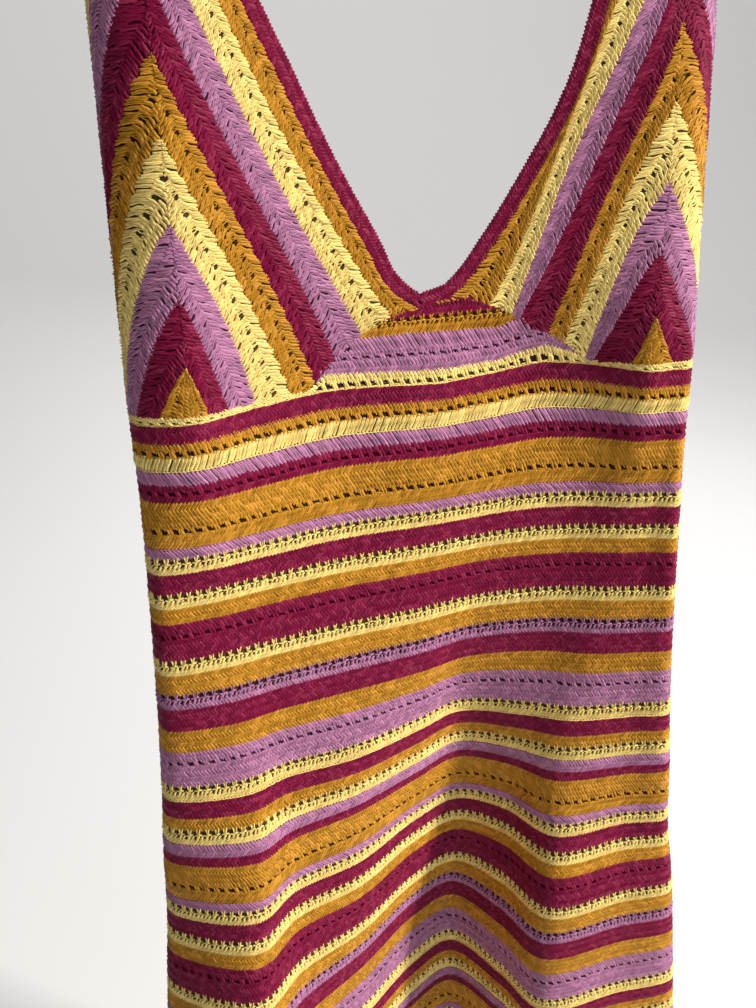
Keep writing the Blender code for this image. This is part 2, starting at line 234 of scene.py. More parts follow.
# The yarn is a mercerised cotton of two plies, in four colours. Each strand of a stitch has painted
# light on its crown and painted shade beside its neighbours, and its plies wind round each other with
# painted shade between them. A wide strand is coloured as two lying side by side, with a painted
# shadow for the groove between them.
YARNS = {
    "raspberry": (0.250, 0.001, 0.046),
    "golden": (0.615, 0.278, 0.018),
    "lemon": (0.970, 0.720, 0.232),
    "orchid": (0.495, 0.203, 0.360),
}
SHADOW_SHARE = {"raspberry": 0.19, "golden": 0.18, "lemon": 0.34, "orchid": 0.20}
# Each yarn's painted shade for the holes and gaps between strands, as the least and most shares of its
# colour.
HOLE_SHADE_SHARE = {
    "raspberry": (0.12, 0.26), "golden": (0.02, 0.08), "lemon": (0.02, 0.08), "orchid": (0.03, 0.10),
}
# The share of the yarn's colour in the painted shade between the inside's knots.
INSIDE_SHADE_SHARE = 0.34
PLY_TURNS = 1.6
PITCH = 0.00225
STRAND_HALF = 0.00110


def darker(colour, share):
    return (colour[0] * share, colour[1] * share, colour[2] * share, 1.0)


def make_yarn(name):
    """Cotton yarn: plies as a slanted wave along each strand, with fibres, uneven dye and painted shade."""
    colour = YARNS[name]
    shader, shade, material = start_material(name + "_yarn")
    strand = shade.node("ShaderNodeAttribute", {"attribute_name": "strand"}, output=1)
    parts = shade.node("ShaderNodeSeparateXYZ", {}, {0: strand})
    along = Shade(shade.tree, parts.output.node.outputs[1])
    kind = Shade(shade.tree, parts.output.node.outputs[2])
    pair = kind.math("GREATER_THAN", kind, 1.0)
    chance = kind - pair
    across = parts + pair * (parts.size() * 2.0 - 1.0 - parts)
    place = shade.node("ShaderNodeTexCoord", output=3)
    dye = shade.node("ShaderNodeTexNoise", {}, {"Vector": place, "Scale": 55.0, "Detail": 2.0})
    fibre = shade.node("ShaderNodeTexNoise", {}, {"Vector": place, "Scale": 2600.0, "Detail": 2.0})
    # Painted light and shade in the colour: each strand is lightest on its crown and darkest at its sides,
    # with a painted dark groove between its plies; the dye and a random tone for each strand vary it too.
    ply = ((across * 1.5 + along * (PLY_TURNS * 2 * math.pi)).wave() * 0.5 + 0.5) ** 0.7
    crown = 1.0 - across.size() ** 1.3
    light = (crown * 0.74 + ply * 0.24 + chance * 0.26 + dye * 0.24 - 0.28).limit()
    shadow_tone = darker(colour, SHADOW_SHARE[name])
    base = light.mix(shadow_tone, (*colour, 1.0))
    pale = tuple(min(1.0, part * 1.12 + 0.05) for part in colour)
    worn = (fibre * chance * 1.5 - 0.42).limit()
    connect(shade, worn.mix(base, (*pale, 1.0)), shader, "Base Color")
    bump = shade.node("ShaderNodeBump", {}, {
        "Strength": 0.55, "Distance": 0.00035, "Height": ply * 0.75 + fibre * 0.35,
    })
    connect(shade, bump, shader, "Normal")
    shader.inputs["Roughness"].default_value = 0.50
    shader.inputs["Sheen Weight"].default_value = 0.06
    shader.inputs["Sheen Roughness"].default_value = 0.45
    shader.inputs["Specular IOR Level"].default_value = 0.10
    return material


def make_ground(name, inside):
    """The cloth behind the strands: painted shade outside, near black, for the holes and gaps between
    strands, and rows of small knots on the inside, with painted shade between the knots.
    """
    colour = YARNS[name]
    shader, shade, material = start_material(name + ("_inside" if inside else "_ground"))
    place = shade.node("ShaderNodeTexCoord", output=3)
    dye = shade.node("ShaderNodeTexNoise", {}, {"Vector": place, "Scale": 300.0, "Detail": 3.0})
    if not inside:
        # Outside, the colour is painted shade: a dark share of the yarn's colour for the holes and gaps
        # between strands, varied by a noise.
        least, most = HOLE_SHADE_SHARE[name]
        connect(shade, dye.mix(darker(colour, least), darker(colour, most)), shader, "Base Color")
        shader.inputs["Roughness"].default_value = 1.0
        shader.inputs["Specular IOR Level"].default_value = 0.0
        return material
    cloth = shade.node("ShaderNodeAttribute", {"attribute_name": "cloth"}, output=1)
    parts = shade.node("ShaderNodeSeparateXYZ", {}, {0: cloth})
    rows = Shade(shade.tree, parts.output.node.outputs[1])
    column = (parts * (math.pi / PITCH)).wave().size()
    row = (rows * (math.pi / ROW)).wave()
    lean = ((parts * (2 * math.pi / PITCH)) + row * 2.2).wave() * 0.5 + 0.5
    knot = (lean * 0.55 + column * row.size() * 0.45).limit()
    # Painted shade on the inside: the colour darkens where the knots sink, and varies with the dye.
    tone = (knot * 0.75 + dye * 0.35).limit()
    connect(shade, tone.mix(darker(colour, INSIDE_SHADE_SHARE), (*colour, 1.0)), shader, "Base Color")
    bump = shade.node("ShaderNodeBump", {}, {"Strength": 0.8, "Distance": 0.0008, "Height": knot})
    connect(shade, bump, shader, "Normal")
    shader.inputs["Roughness"].default_value = 0.75
    return material


# The form of the cloth: level sections through eighteen stations round the tube, each row
# giving half the width, the side's depth, and the depths of the front and back. Like the other
# tables of places below, it is in millimetres and brought to metres at its end.
ROW = 0.0034
SECTION_COLUMNS = (
    "height", "half", "side", "ridge_x", "ridge", "slope", "flank", "middle", "trough_x", "trough",
    "wall_x", "wall", "crest_x", "crest", "face", "back_l", "back_m", "back_t", "back_r",
)
SECTIONS = np.array([
    (-680, 221, 4, 150, -54, -18, 25, 68, 38, 86, 70, 38, 95, -13, -10, 55, 82, 101, 46),
    (-560, 210, 5, 142, -46, -14, 24, 64, 38, 80, 68, 36, 90, -9, -8, 54, 77, 95, 47),
    (-460, 200, 6, 137, -38, -8, 23, 61, 38, 75, 66, 36, 86, -5, -5, 53, 73, 89, 48),
    (-410, 195, 8, 134, -32, -4, 18, 54, 39, 69, 68, 40, 90, -4, -3, 52, 68, 84, 48),
    (-367, 190, 12, 130, -22, 1, 18, 51, 38, 66, 69, 45, 95, 4, 4, 51, 64, 81, 49),
    (-307, 186, 13, 125, -13, 2, 17, 41, 37, 57, 72, 38, 98, 13, 6, 50, 58, 73, 49),
    (-265, 182, 13, 126, -6, 5, 13, 33, 34, 47, 75, 30, 106, 13, 6, 49, 54, 64, 49),
    (-195, 177, 13, 130, -1, 6, 14, 22, 36, 31, 90, 24, 120, 12, 5, 48, 50, 54, 48),
    (-120, 173, 12, 136, 1, 8, 16, 20, 48, 25, 100, 20, 134, 10, 6, 47, 48, 50, 47),
    (-40, 170, 12, 137, -7, 4, 17, 18, 78, 24, 110, 17, 137, 3, 2, 46, 46, 48, 46),
    (0, 170, 12, 137, -9, 5, 18, 19, 70, 26, 106, 17, 137, -1, 0, 46, 46, 47, 46),
    (70, 168, 13, 137, -9, 2, 14, 19, 50, 15, 100, 4, 137, -5, -3, 46, 46, 46, 46),
    (140, 166, 14, 137, -8, 1, 13, 18, 50, 13, 100, 2, 137, -6, -4, 44, 44, 44, 44),
    (210, 164, 15, 137, -4, 1, 12, 16, 50, 12, 100, 2, 137, -3, -1, 40, 40, 40, 40),
    (245, 164, 19, 137, 4, 6, 12, 14, 50, 12, 100, 7, 137, 5, 6, 36, 36, 36, 36),
    (272, 165, 22, 137, 12, 12.3, 12.5, 12.5, 50, 12.5, 100, 12.3, 137, 12, 12.2, 32, 32, 32, 32),
    (320, 165, 22, 137, 12.5, 12.5, 12.5, 12.5, 50, 12.5, 100, 12.5, 137, 12.5, 12.5, 31.5, 31.5, 31.5, 31.5),
]) / 1000
SLOPE_X, FLANK_X, FACE_X = -0.100, -0.050, 0.152
BACK_L_X, BACK_M_X, BACK_R_X = -0.110, -0.030, 0.120
SIDE_ROUND_X, SIDE_ROUND_Y = 0.005, 0.011
LEFT_RIDGE, RIGHT_RIDGE, RIGHT_SEAM, STATIONS = 3, 9, 13, 18
WALL = 0.0022
BAR_REACH = 0.0070 + SEAM_GAP + WALL
BAR_CROWN_HEIGHT, BAR_SLOPE, BAR_CROWN_RUN = 0.3253, 0.32, 0.030


def through(knots, values, places):
    """Smooth curves through values (n, k, c) at knots (n, k), read at places (n, m).

    Each stretch is the cubic whose end slopes are weighted means of the chords' slopes.
    """
    width = np.diff(knots, axis=1)
    rise = np.diff(values, axis=1) / width[..., None]
    before, after = width[:, :-1, None], width[:, 1:, None]
    inner = (rise[:, :-1] * after + rise[:, 1:] * before) / (before + after)
    slope = np.concatenate([rise[:, :1], inner, rise[:, -1:]], axis=1)
    span = (places[:, :, None] >= knots[:, None, 1:-1]).sum(axis=2)
    row = np.arange(len(knots))[:, None]
    step = width[row, span][..., None]
    t = (places - knots[row, span])[..., None] / step
    start, end = values[row, span], values[row, span + 1]
    return (
        start * (1 + 2 * t) * (1 - t) ** 2
        + end * t * t * (3 - 2 * t)
        + step * t * (1 - t) * (slope[row, span] * (1 - t) - slope[row, span + 1] * t)
    )


def ease(value):
    """0 to 1 with level ends: three squares less two cubes."""
    value = np.clip(value, 0, 1)
    return value * value * (3 - 2 * value)


def sections(heights, stations):
    """Level sections (n, m, 2) at the heights, read at stations counted from the left seam."""
    count = len(heights)
    columns = through(SECTIONS[None, :, 0], SECTIONS[None], np.asarray(heights)[None])[0]
    get = dict(zip(SECTION_COLUMNS, columns.T))
    same = np.ones(count)
    near = get["half"] - SIDE_ROUND_X
    front, back = get["side"] - SIDE_ROUND_Y, get["side"] + SIDE_ROUND_Y
    points = np.array([
        (-near, back), (-get["half"], get["side"]), (-near, front), (-get["ridge_x"], get["ridge"]),
        (SLOPE_X * same, get["slope"]), (FLANK_X * same, get["flank"]), (0 * same, get["middle"]),
        (get["trough_x"], get["trough"]), (get["wall_x"], get["wall"]), (get["crest_x"], get["crest"]),
        (FACE_X * same, get["face"]), (near, front), (get["half"], get["side"]), (near, back),
        (BACK_R_X * same, get["back_r"]), (get["trough_x"], get["back_t"]),
        (BACK_M_X * same, get["back_m"]), (BACK_L_X * same, get["back_l"]),
    ]).transpose(2, 0, 1)
    near_bar = ease((np.asarray(heights) - 0.222) / 0.036)[:, None]
    nearest = np.minimum(points[:, 1:RIGHT_SEAM, 1], BAR_DEPTH - BAR_REACH)
    points[:, 1:RIGHT_SEAM, 1] += near_bar * (nearest - points[:, 1:RIGHT_SEAM, 1])
    nearest = np.maximum(points[:, RIGHT_SEAM + 1:, 1], BAR_DEPTH + BAR_REACH)
    points[:, RIGHT_SEAM + 1:, 1] += near_bar * (nearest - points[:, RIGHT_SEAM + 1:, 1])
    lead = 3
    ring = np.concatenate([points[:, -lead:], points, points[:, :lead + 1]], axis=1)
    chord = np.sqrt(np.linalg.norm(np.diff(ring, axis=1), axis=2))
    knots = np.concatenate([np.zeros((count, 1)), np.cumsum(chord, axis=1)], axis=1)
    whole = np.asarray(stations) + lead
    low = np.clip(np.floor(whole).astype(int), 0, ring.shape[1] - 2)
    part = whole - low
    places = knots[:, low] * (1 - part) + knots[:, low + 1] * part
    return through(knots, ring, places)


class Cloth:
    """A stretch of the cloth's outer face as a lattice, read by place across and height.

    Rows lie at even heights. In each row the columns are evenly spaced round the cloth, from
    the row's start, and between lattice points the face is read bilinearly.
    """

    def __init__(self, points, low, high, starts, widths, turn=1):
        self.points, self.low, self.high = points, low, high
        self.starts, self.widths, self.turn = starts, widths, turn
        across = np.gradient(points, axis=1)
        upward = np.gradient(points, axis=0)
        normal = np.cross(across, upward) * turn
        self.normals = normal / np.maximum(np.linalg.norm(normal, axis=2), 1e-12)[..., None]

    def width(self, height):
        return np.interp(height, np.linspace(self.low, self.high, len(self.widths)), self.widths)

    def start(self, height):
        return np.interp(height, np.linspace(self.low, self.high, len(self.starts)), self.starts)

    def read(self, place):
        """Points and normals of the outer face at places (..., 2) across and up."""
        across, height = place[..., 0], place[..., 1]
        rows, columns = self.points.shape[:2]
        row = np.clip((height - self.low) / (self.high - self.low), 0, 1) * (rows - 1)
        column = np.clip((across - self.start(height)) / self.width(height), 0, 1) * (columns - 1)
        r = np.minimum(row.astype(int), rows - 2)
        c = np.minimum(column.astype(int), columns - 2)
        u, v = (row - r)[..., None], (column - c)[..., None]
        weights = ((1 - u) * (1 - v), (1 - u) * v, u * (1 - v), u * v)
        corners = ((r, c), (r, c + 1), (r + 1, c), (r + 1, c + 1))
        point = sum(w * self.points[at] for w, at in zip(weights, corners))
        normal = sum(w * self.normals[at] for w, at in zip(weights, corners))
        return point, normal / np.linalg.norm(normal, axis=-1)[..., None]


def evenly(curves, count):
    """Curves (n, m, 2) read again at count even steps along each, and their lengths."""
    run = np.concatenate([
        np.zeros((len(curves), 1)), np.cumsum(np.linalg.norm(np.diff(curves, axis=1), axis=2), axis=1),
    ], axis=1)
    part = np.linspace(0, 1, count)
    spaced = np.array([
        [np.interp(part * r[-1], r, c[:, 0]), np.interp(part * r[-1], r, c[:, 1])]
        for r, c in zip(run, curves)
    ])
    return spaced.transpose(0, 2, 1), run[:, -1]


def tube_cloth(first, last, low, high, rows, columns=420):
    """Cloth round the tube between two stations, with places counted from its middle."""
    heights = np.linspace(low, high, rows)
    curves, widths = evenly(sections(heights, np.linspace(first, last, 700)), columns)
    level = np.broadcast_to(heights[:, None, None], (rows, columns, 1))
    return Cloth(np.concatenate([curves, level], axis=2) + to_world, low, high, -widths / 2, widths)


def lay_strands(cloth, starts, ends, half_width, crown, bend, rng, pair=False):
    """Strands on the cloth from starts to ends, places (n, 2), each a low arch of 3 by 3 points.

    Each is lowest at its ends and sides and highest in its middle, where bend moves it aside. A
    pair is coloured as two strands side by side.
    """
    count = len(starts)
    part = np.array([0.0, 0.5, 1.0])[None, :, None]
    middle = starts[:, None] * (1 - part) + ends[:, None] * part
    run = ends - starts
    aside = np.stack([-run[:, 1], run[:, 0]], axis=1) * bend
    middle = middle + aside[:, None] * np.array([0.0, 1.0, 0.0])[None, :, None]
    point, normal = cloth.read(middle)
    along = point[:, 2:3] - point[:, 0:1]
    side = np.cross(normal, along)
    side /= np.maximum(np.linalg.norm(side, axis=2), 1e-9)[..., None]
    lift = crown * (1 + 0.22 * rng.uniform(-1, 1, (count, 1))) * np.array([0.15, 1.0, 0.25])
    edge = np.array([-0.00055, -0.00030, -0.00055])
    taper = np.array([0.80, 1.0, 0.80])[None, :, None]
    width = (half_width * (1 + 0.08 * rng.uniform(-1, 1, count)))[:, None, None] * taper
    rows = np.stack([
        point - side * width + normal * edge[None, :, None],
        point + normal * lift[..., None],
        point + side * width + normal * edge[None, :, None],
    ], axis=2)
    chance = rng.uniform(0.01, 0.99, count) + (1.0 if pair else 0.0)
    detail = np.stack(np.broadcast_arrays(
        np.array([-1.0, 0.0, 1.0])[None, None, :],
        np.array([0.0, 0.5, 1.0])[None, :, None],
        chance[:, None, None],
    ), axis=-1)
    return rows.reshape(count, 9, 3), detail.reshape(count, 9, 3)


STRAND_FACES = np.array([(0, 1, 4, 3), (1, 2, 5, 4), (3, 4, 7, 6), (4, 5, 8, 7)])[:, ::-1]


def strand_piece(name, strands, colour):
    """One joined mesh of many strands, with a place of its own for each in the piece's map."""
    points = np.concatenate([rows for rows, _ in strands])
    detail = np.concatenate([rows for _, rows in strands])
    count = len(points)
    faces = (np.arange(count)[:, None, None] * 9 + STRAND_FACES[None]).reshape(-1, 4)
    mesh = fill_mesh(name, points.reshape(-1, 3), faces)
    attribute = mesh.attributes.new("strand", "FLOAT_VECTOR", "POINT")
    attribute.data.foreach_set("vector", detail.astype(np.float32).ravel())
    side = math.ceil(math.sqrt(count))
    cell = np.stack([np.arange(count) % side, np.arange(count) // side], axis=1)[:, None]
    inner = 0.1 + 0.8 * np.stack([detail[..., 0] * 0.5 + 0.5, detail[..., 1]], axis=-1)
    spread = ((cell + inner) / side).reshape(-1, 2)
    spread = spread[faces.ravel()].astype(np.float32)
    mesh.uv_layers.new(name="OFBake").uv.foreach_set("vector", spread.ravel())
    mesh.materials.append(yarns[colour])
    return show(name, mesh)


def stitch_row(kind, low, high, rng):
    """The strands of one row of stitches, as pairs of ends in its own cells, (n, 2) each.

    The first number counts stitches along the row and the second goes from its foot to its
    head. Each kind also gives its strands' width and crown as shares of a plain strand's.
    """
    count = len(low) - 1
    cell = np.arange(count, dtype=float)
    if kind == "/":
        groups = [(cell - 0.15, -0.10, cell + 1.50, 1.14, 1.05, 1.0)]
    elif kind == "\\":
        groups = [(cell + 1.50, -0.10, cell - 0.15, 1.14, 1.05, 1.0)]
    elif kind == "l":
        groups = [(cell + 2.70, -0.06, cell - 0.10, 1.06, 1.05, 1.1)]
    elif kind == "f":
        groups = [(cell - 0.25, -0.08, cell + 1.45, 1.12, 1.02, 1.50)]
    elif kind == "c":
        groups = [(cell + 0.0, 0.35, cell + 1.25, 0.60, 0.42, 0.9)]
    elif kind == "h":
        hole = np.arange(0, count, 3, dtype=float)
        bigger = np.where(np.arange(len(hole)) % 2, 0.16, 0.0)
        groups = [
            (cell + 1.20, 0.46, cell - 0.05, 1.20, 1.06, 1.0),
            (hole + 1.60, -0.10, hole + 0.60, 0.70, 0.92, 1.2),
            (hole + 0.85, -0.10, hole + 0.05, 0.66, 0.92, 1.2),
            (hole + 0.90, 0.02, hole + 3.40, 0.06 - bigger * 0.4, 0.50, 1.0),
            (hole + 2.75, 0.30 + bigger, hole + 2.20, 0.72, 0.55, 0.6),
        ]
    else:
        star = np.arange(0, count, 2.6)
        groups = [
            (star + 1.00, 0.42, star + 0.50, 1.22, 0.58, 1.2),
            (star + 1.10, 0.42, star + 1.70, 1.30, 0.58, 1.5),
            (star + 1.05, 0.42, star + 1.10, 1.05, 0.50, 1.0),
            (star - 0.10, 0.46, star + 2.20, 0.58, 0.62, 1.4),
            (star + 0.00, -0.20, star + 1.10, 0.50, 0.80, 1.5),
            (star + 1.25, -0.20, star + 2.30, 0.46, 0.80, 1.5),
            (star + 0.55, 0.02, star + 1.30, 0.42, 0.50, 0.8),
        ]
    laid = []
    for a0, c0, a1, c1, width, crown in groups:
        a0, a1 = np.broadcast_arrays(a0, a1)
        shake = rng.uniform(-1, 1, (4, len(a0))) * 0.07
        foot = place_in_row(low, high, a0 + shake[0], c0 + shake[1])
        head = place_in_row(low, high, a1 + shake[2], c1 + shake[3])
        laid.append((foot, head, width, crown))
    return laid


def read_line(at, run, line):
    """Points of a line (n, c), whose points lie at the runs, read straight between them."""
    return np.stack([np.interp(at, run, part) for part in line.T], axis=1)


def place_in_row(low, high, along, up):
    """Places in a row whose foot and head are the lines low and high, (n + 1, 2) each."""
    index = np.arange(len(low))
    up = np.broadcast_to(up, along.shape)[:, None]
    return read_line(along, index, low) * (1 - up) + read_line(along, index, high) * up


def add_row(store, cloth, kind, low, high, colour, rng, keep=None):
    """Lays one row and keeps its strands with those of its colour, without any past an edge."""
    for foot, head, width, crown in stitch_row(kind, low, high, rng):
        if keep is not None:
            inside = keep((foot + head) / 2)
            foot, head = foot[inside], head[inside]
        if len(foot) == 0:
            continue
        half = np.full(len(foot), STRAND_HALF * width)
        bend = (0.025 if width > 1.0 else 0.06) * rng.choice([-1, 1], len(foot))[:, None]
        store.setdefault(colour, []).append(
            lay_strands(cloth, foot, head, half, CROWN * crown, bend, rng, pair=width > 1.0)
        )


yarns = {name: make_yarn(name) for name in YARNS}
grounds = [make_ground(name, False) for name in YARNS] + [make_ground(name, True) for name in YARNS]
COLOUR_ORDER = list(YARNS)
CROWN = 0.00085
GROUND_DEPTH = 0.0006
GROUND_THICK = 0.0013


def grid_faces(rows, columns):
    """The four-cornered faces of a grid of points, counted row by row."""
    index = np.arange(rows * columns).reshape(rows, columns)
    corners = [index[:-1, :-1], index[:-1, 1:], index[1:, 1:], index[1:, :-1]]
    return np.stack(corners, axis=-1).reshape(-1, 4)


def walled(name, mesh, materials):
    """Shows a cloth in place of its plain solid, its wall grown inwards with the inside finish."""
    for material in materials:
        mesh.materials.append(material)
    piece = show(f"{name}_cloth", mesh)
    wall = piece.modifiers.new("wall", "SOLIDIFY")
    wall.thickness = GROUND_THICK
    wall.offset = -1.0
    wall.material_offset = wall.material_offset_rim = len(materials) // 2
    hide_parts(name)
    return piece


def ground_piece(name, cloth, places, colours):
    """The cloth behind the strands: a grid sunk a little under the outer face, with a wall."""
    rows, columns = places.shape[:2]
    faces = grid_faces(rows, columns)
    points, normals = cloth.read(places)
    sunk = points - normals * GROUND_DEPTH
    mesh = fill_mesh(f"{name}_cloth", sunk.reshape(-1, 3), faces[:, ::-1] if cloth.turn < 0 else faces)
    attribute = mesh.attributes.new("cloth", "FLOAT_VECTOR", "POINT")
    flat = np.concatenate([places, np.zeros((rows, columns, 1))], axis=2)
    attribute.data.foreach_set("vector", flat.astype(np.float32).ravel())
    piece = walled(name, mesh, grounds)
    mesh.polygons.foreach_set("material_index", colours.astype(np.int32).ravel())
    return piece


def sew_on(name, ground, store, **cut_of_cloth):
    """Shows a piece's strands, one mesh for each colour; its ground and its cut of cloth are not used."""
    pieces = [strand_piece(f"{name}_{colour}", strands, colour) for colour, strands in store.items()]


# The front of the skirt is worked in rounds from the bust seam down to the hem. It has five
# first stripes and then one order of nineteen that comes again. Heights are in millimetres.
FIRST_STRIPES = (
    ("raspberry", 10.6, "/\\/"), ("golden", 7.4, "h"), ("lemon", 8.8, "fc"), ("orchid", 8.2, "l"),
    ("raspberry", 10.0, "h/"),
)
STRIPE_ORDER = (
    ("golden", 29.0, "/\\\\h//"), ("orchid", 7.3, "cl"), ("lemon", 10.2, "s/"),
    ("raspberry", 13.4, "/\\/\\"), ("lemon", 9.9, "s/"), ("golden", 10.6, "/\\/"),
    ("raspberry", 26.1, "\\h/\\/\\"), ("lemon", 10.4, "s/"), ("golden", 14.1, "/\\/\\"),
    ("orchid", 11.1, "s\\"), ("raspberry", 16.3, "/\\/\\/"), ("golden", 16.1, "/\\/\\"),
    ("orchid", 26.9, "\\h/\\/\\"), ("lemon", 12.4, "s/c"), ("raspberry", 13.1, "/\\/\\"),
    ("golden", 9.5, "/\\"), ("lemon", 11.1, "s/"), ("orchid", 10.3, "c\\/"), ("raspberry", 7.6, "/\\"),
)
ROW_SHARE = {"/": 1.0, "\\": 1.0, "f": 1.8, "c": 0.4, "h": 1.7, "s": 1.9, "l": 1.8}
hem_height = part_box("skirt_front")[0].z - seam_z
seam_row_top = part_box("under_bust_row_front")[1].z - seam_z + SEAM_GAP / 2


def whole_cells(width):
    """How many stitches fill a width, as a whole number of groups of three."""
    return round(width / PITCH / 3) * 3


def skirt_rows():
    """Every row of the skirt from the seam down: its colour, kind, head and foot heights."""
    rows, head, stripe = [], 0.0, 0
    stripes = FIRST_STRIPES + STRIPE_ORDER * 3
    while head > hem_height:
        colour, height, kinds = stripes[stripe]
        shares = [ROW_SHARE[kind] for kind in kinds]
        for kind, share in zip(kinds, shares):
            foot = head - height / 1000 * share / sum(shares)
            if foot < hem_height - 0.001:
                return rows
            rows.append((colour, kind, head, foot))
            head = foot
        stripe += 1
    return rows


SEAM_RISE = np.array([
    (-170, 2), (-137, 3.2), (-100, 4), (-59, 5.6), (-18, 4), (15, 2), (51, 4), (79, 7.8), (105, 6),
    (137, 3.4), (170, 2),
]) / 1000
SEAM_RISE_FADE = 0.045
GROUND_COLUMNS = 96


def from_table(table, x, column=1):
    """A table's column read at x, straight between its rows, whose first numbers are places."""
    return np.interp(x, table[:, 0], table[:, column])


def level_row(cloth, height, count, risen=False):
    """A level line of count steps round the cloth, lifted by the seam's rise where it is near."""
    across = cloth.start(height) + np.linspace(0, 1, count + 1) * cloth.width(height)
    level = np.full(count + 1, height)
    if risen:
        x = cloth.read(np.stack([across, level], axis=1))[0][:, 0]
        level = level + from_table(SEAM_RISE, x) * math.exp(min(height, 0.0) / SEAM_RISE_FADE)
    return np.stack([across, level], axis=1)


def skirt_piece(side, first, last, risen, seed):
    """One side of the skirt: its ground, and its strands as one joined mesh for each colour."""
    rng = np.random.default_rng(seed)
    cloth = tube_cloth(first, last, hem_height, seam_row_top, 260)
    rows = skirt_rows()
    store = {}
    for colour, kind, head, foot in rows:
        count = whole_cells(cloth.width((head + foot) / 2))
        low, high = level_row(cloth, foot, count, risen), level_row(cloth, head, count, risen)
        add_row(store, cloth, kind, low, high, colour, rng)
    heights = np.array([-SEAM_GAP / 2] + [foot for _, _, _, foot in rows])[::-1]
    heights[0] = hem_height
    places = np.array([level_row(cloth, height, GROUND_COLUMNS) for height in heights])
    colours = np.array([COLOUR_ORDER.index(colour) for colour, _, _, _ in rows][::-1])
    faces = np.broadcast_to(colours[:, None], (len(rows), GROUND_COLUMNS))
    top, foot = cloth.width(0.0), cloth.width(hem_height)
    sew_on(
        f"skirt_{side}", ground_piece(f"skirt_{side}", cloth, places, faces), store,
        flat=(float(foot), float(-hem_height)), held="hung",
        rests_on=[f"under_bust_row_{side}_cloth"], area=float((top + foot) / 2 * -hem_height),
    )


skirt_piece("front", 0, RIGHT_SEAM, True, 11)

# The back of the skirt continues the same rounds behind the side seams.
skirt_piece("back", RIGHT_SEAM, STATIONS, False, 12)

# The row under the bust is an open ladder in lemon yarn, which joins the skirt to the bust
# panels. It is low under the cups, and twice as high in the middle, where the bridge stands.
SEAM_ROW_HEIGHT = 0.0068
LADDER_FOOT, CHAIN_BELOW, CHAIN_ABOVE = 0.0009, 0.0006, 0.0013
LEAST_SHEET = 0.010
LADDER_TOP = np.array([
    (-170, 7), (-68, 7.5), (-59, 15), (-18, 12), (15, 10), (50, 11.2), (78, 18.5), (94, 14), (106, 8.2),
    (170, 6.8),
]) / 1000


def seam_row_piece(side, first, last, seed):
    """One side of the row under the bust: open stitches over a chain, between the two seams."""
    rng = np.random.default_rng(seed)
    cloth = tube_cloth(first, last, -0.004, 0.024, 24)
    chain = level_row(cloth, 0.0, whole_cells(cloth.width(0.0)), side == "front")
    top = chain.copy()
    top[:, 1] = SEAM_ROW_HEIGHT + 0.0004
    if side == "front":
        top[:, 1] = from_table(LADDER_TOP, cloth.read(chain)[0][:, 0])
    store = {}
    add_row(store, cloth, "h", chain + (0, LADDER_FOOT), top, "lemon", rng)
    add_row(store, cloth, "c", chain - (0, CHAIN_BELOW), chain + (0, CHAIN_ABOVE), "lemon", rng)
    heights = np.linspace(SEAM_GAP / 2, SEAM_ROW_HEIGHT - SEAM_GAP / 2, 3)
    places = np.array([level_row(cloth, height, GROUND_COLUMNS) for height in heights])
    colours = np.full((2, GROUND_COLUMNS), COLOUR_ORDER.index("lemon"))
    wide = float(cloth.width(0.0))
    name = f"under_bust_row_{side}"
    sew_on(
        name, ground_piece(name, cloth, places, colours), store,
        flat=(wide, LEAST_SHEET), area=wide * (SEAM_ROW_HEIGHT - SEAM_GAP), held="stretched",
        rests_on=[f"skirt_{side}_cloth"],
    )


seam_row_piece("front", 0, RIGHT_SEAM, 21)
seam_row_piece("back", RIGHT_SEAM, STATIONS, 22)


# Each bust panel is worked in rows that turn a corner on a line up to the shoulder strap, so its
# stripes stand inside each other like roofs. Both panels are alike and mirror each other.
APEX_X = 0.137
STRAP_HALF, STRAP_TAPER, STRAP_TAPER_TOP = 0.021, 0.60, 0.262
BRIDGE_HALF, BRIDGE_SLOPE, CUP_TIP_X = 0.082, 0.545, 0.0006
EDGING_WIDTH = 0.0080
NECK_TOP_HEIGHT = 0.2963
SHOULDER_TURN = 0.0146
CUP_ARC = 0.046
CLOTH_FOOT, CLOTH_TOP = 0.0030, 0.3180
CUP_FLAT, CUP_AREA = (0.182, 0.300), 0.0285
CUP_STRIPES = ("golden", "raspberry", "orchid", "lemon", "golden", "raspberry", "orchid", "lemon", "golden")
CUP_LINES = {
    -1: np.array([
        (0.034, -2.01, -81.8, 0, 0.011), (0.071, -1.33, -128.3, 2136, 0.022),
        (0.110, -2.13, 15.9, -928, 0.037), (0.152, -2.40, 9.3, -188, 0.055),
        (0.190, -2.60, 11.9, -133, 0.068), (0.229, -2.90, 14.6, -100, 0.083),
        (0.268, -2.97, 10.8, -39, 0.099), (0.296, -2.63, 3.8, 6, 0.117),
    ]),
    1: np.array([
        (0.036, -2.74, -15.2, 0, 0.011), (0.074, 0.14, -152.6, 2530, 0.024),
        (0.114, -1.46, 22.6, -2062, 0.034), (0.156, -1.52, -19.9, -156, 0.047),
        (0.195, -3.33, 46.2, -675, 0.059), (0.226, -2.52, 3.4, -39, 0.073),
        (0.268, -3.57, 35.8, -329, 0.083), (0.292, -1.91, -18.9, 125, 0.100),
    ]),
}
OUTER_DROP = {-1: (0.95, 33.0), 1: (1.75, 6.0)}
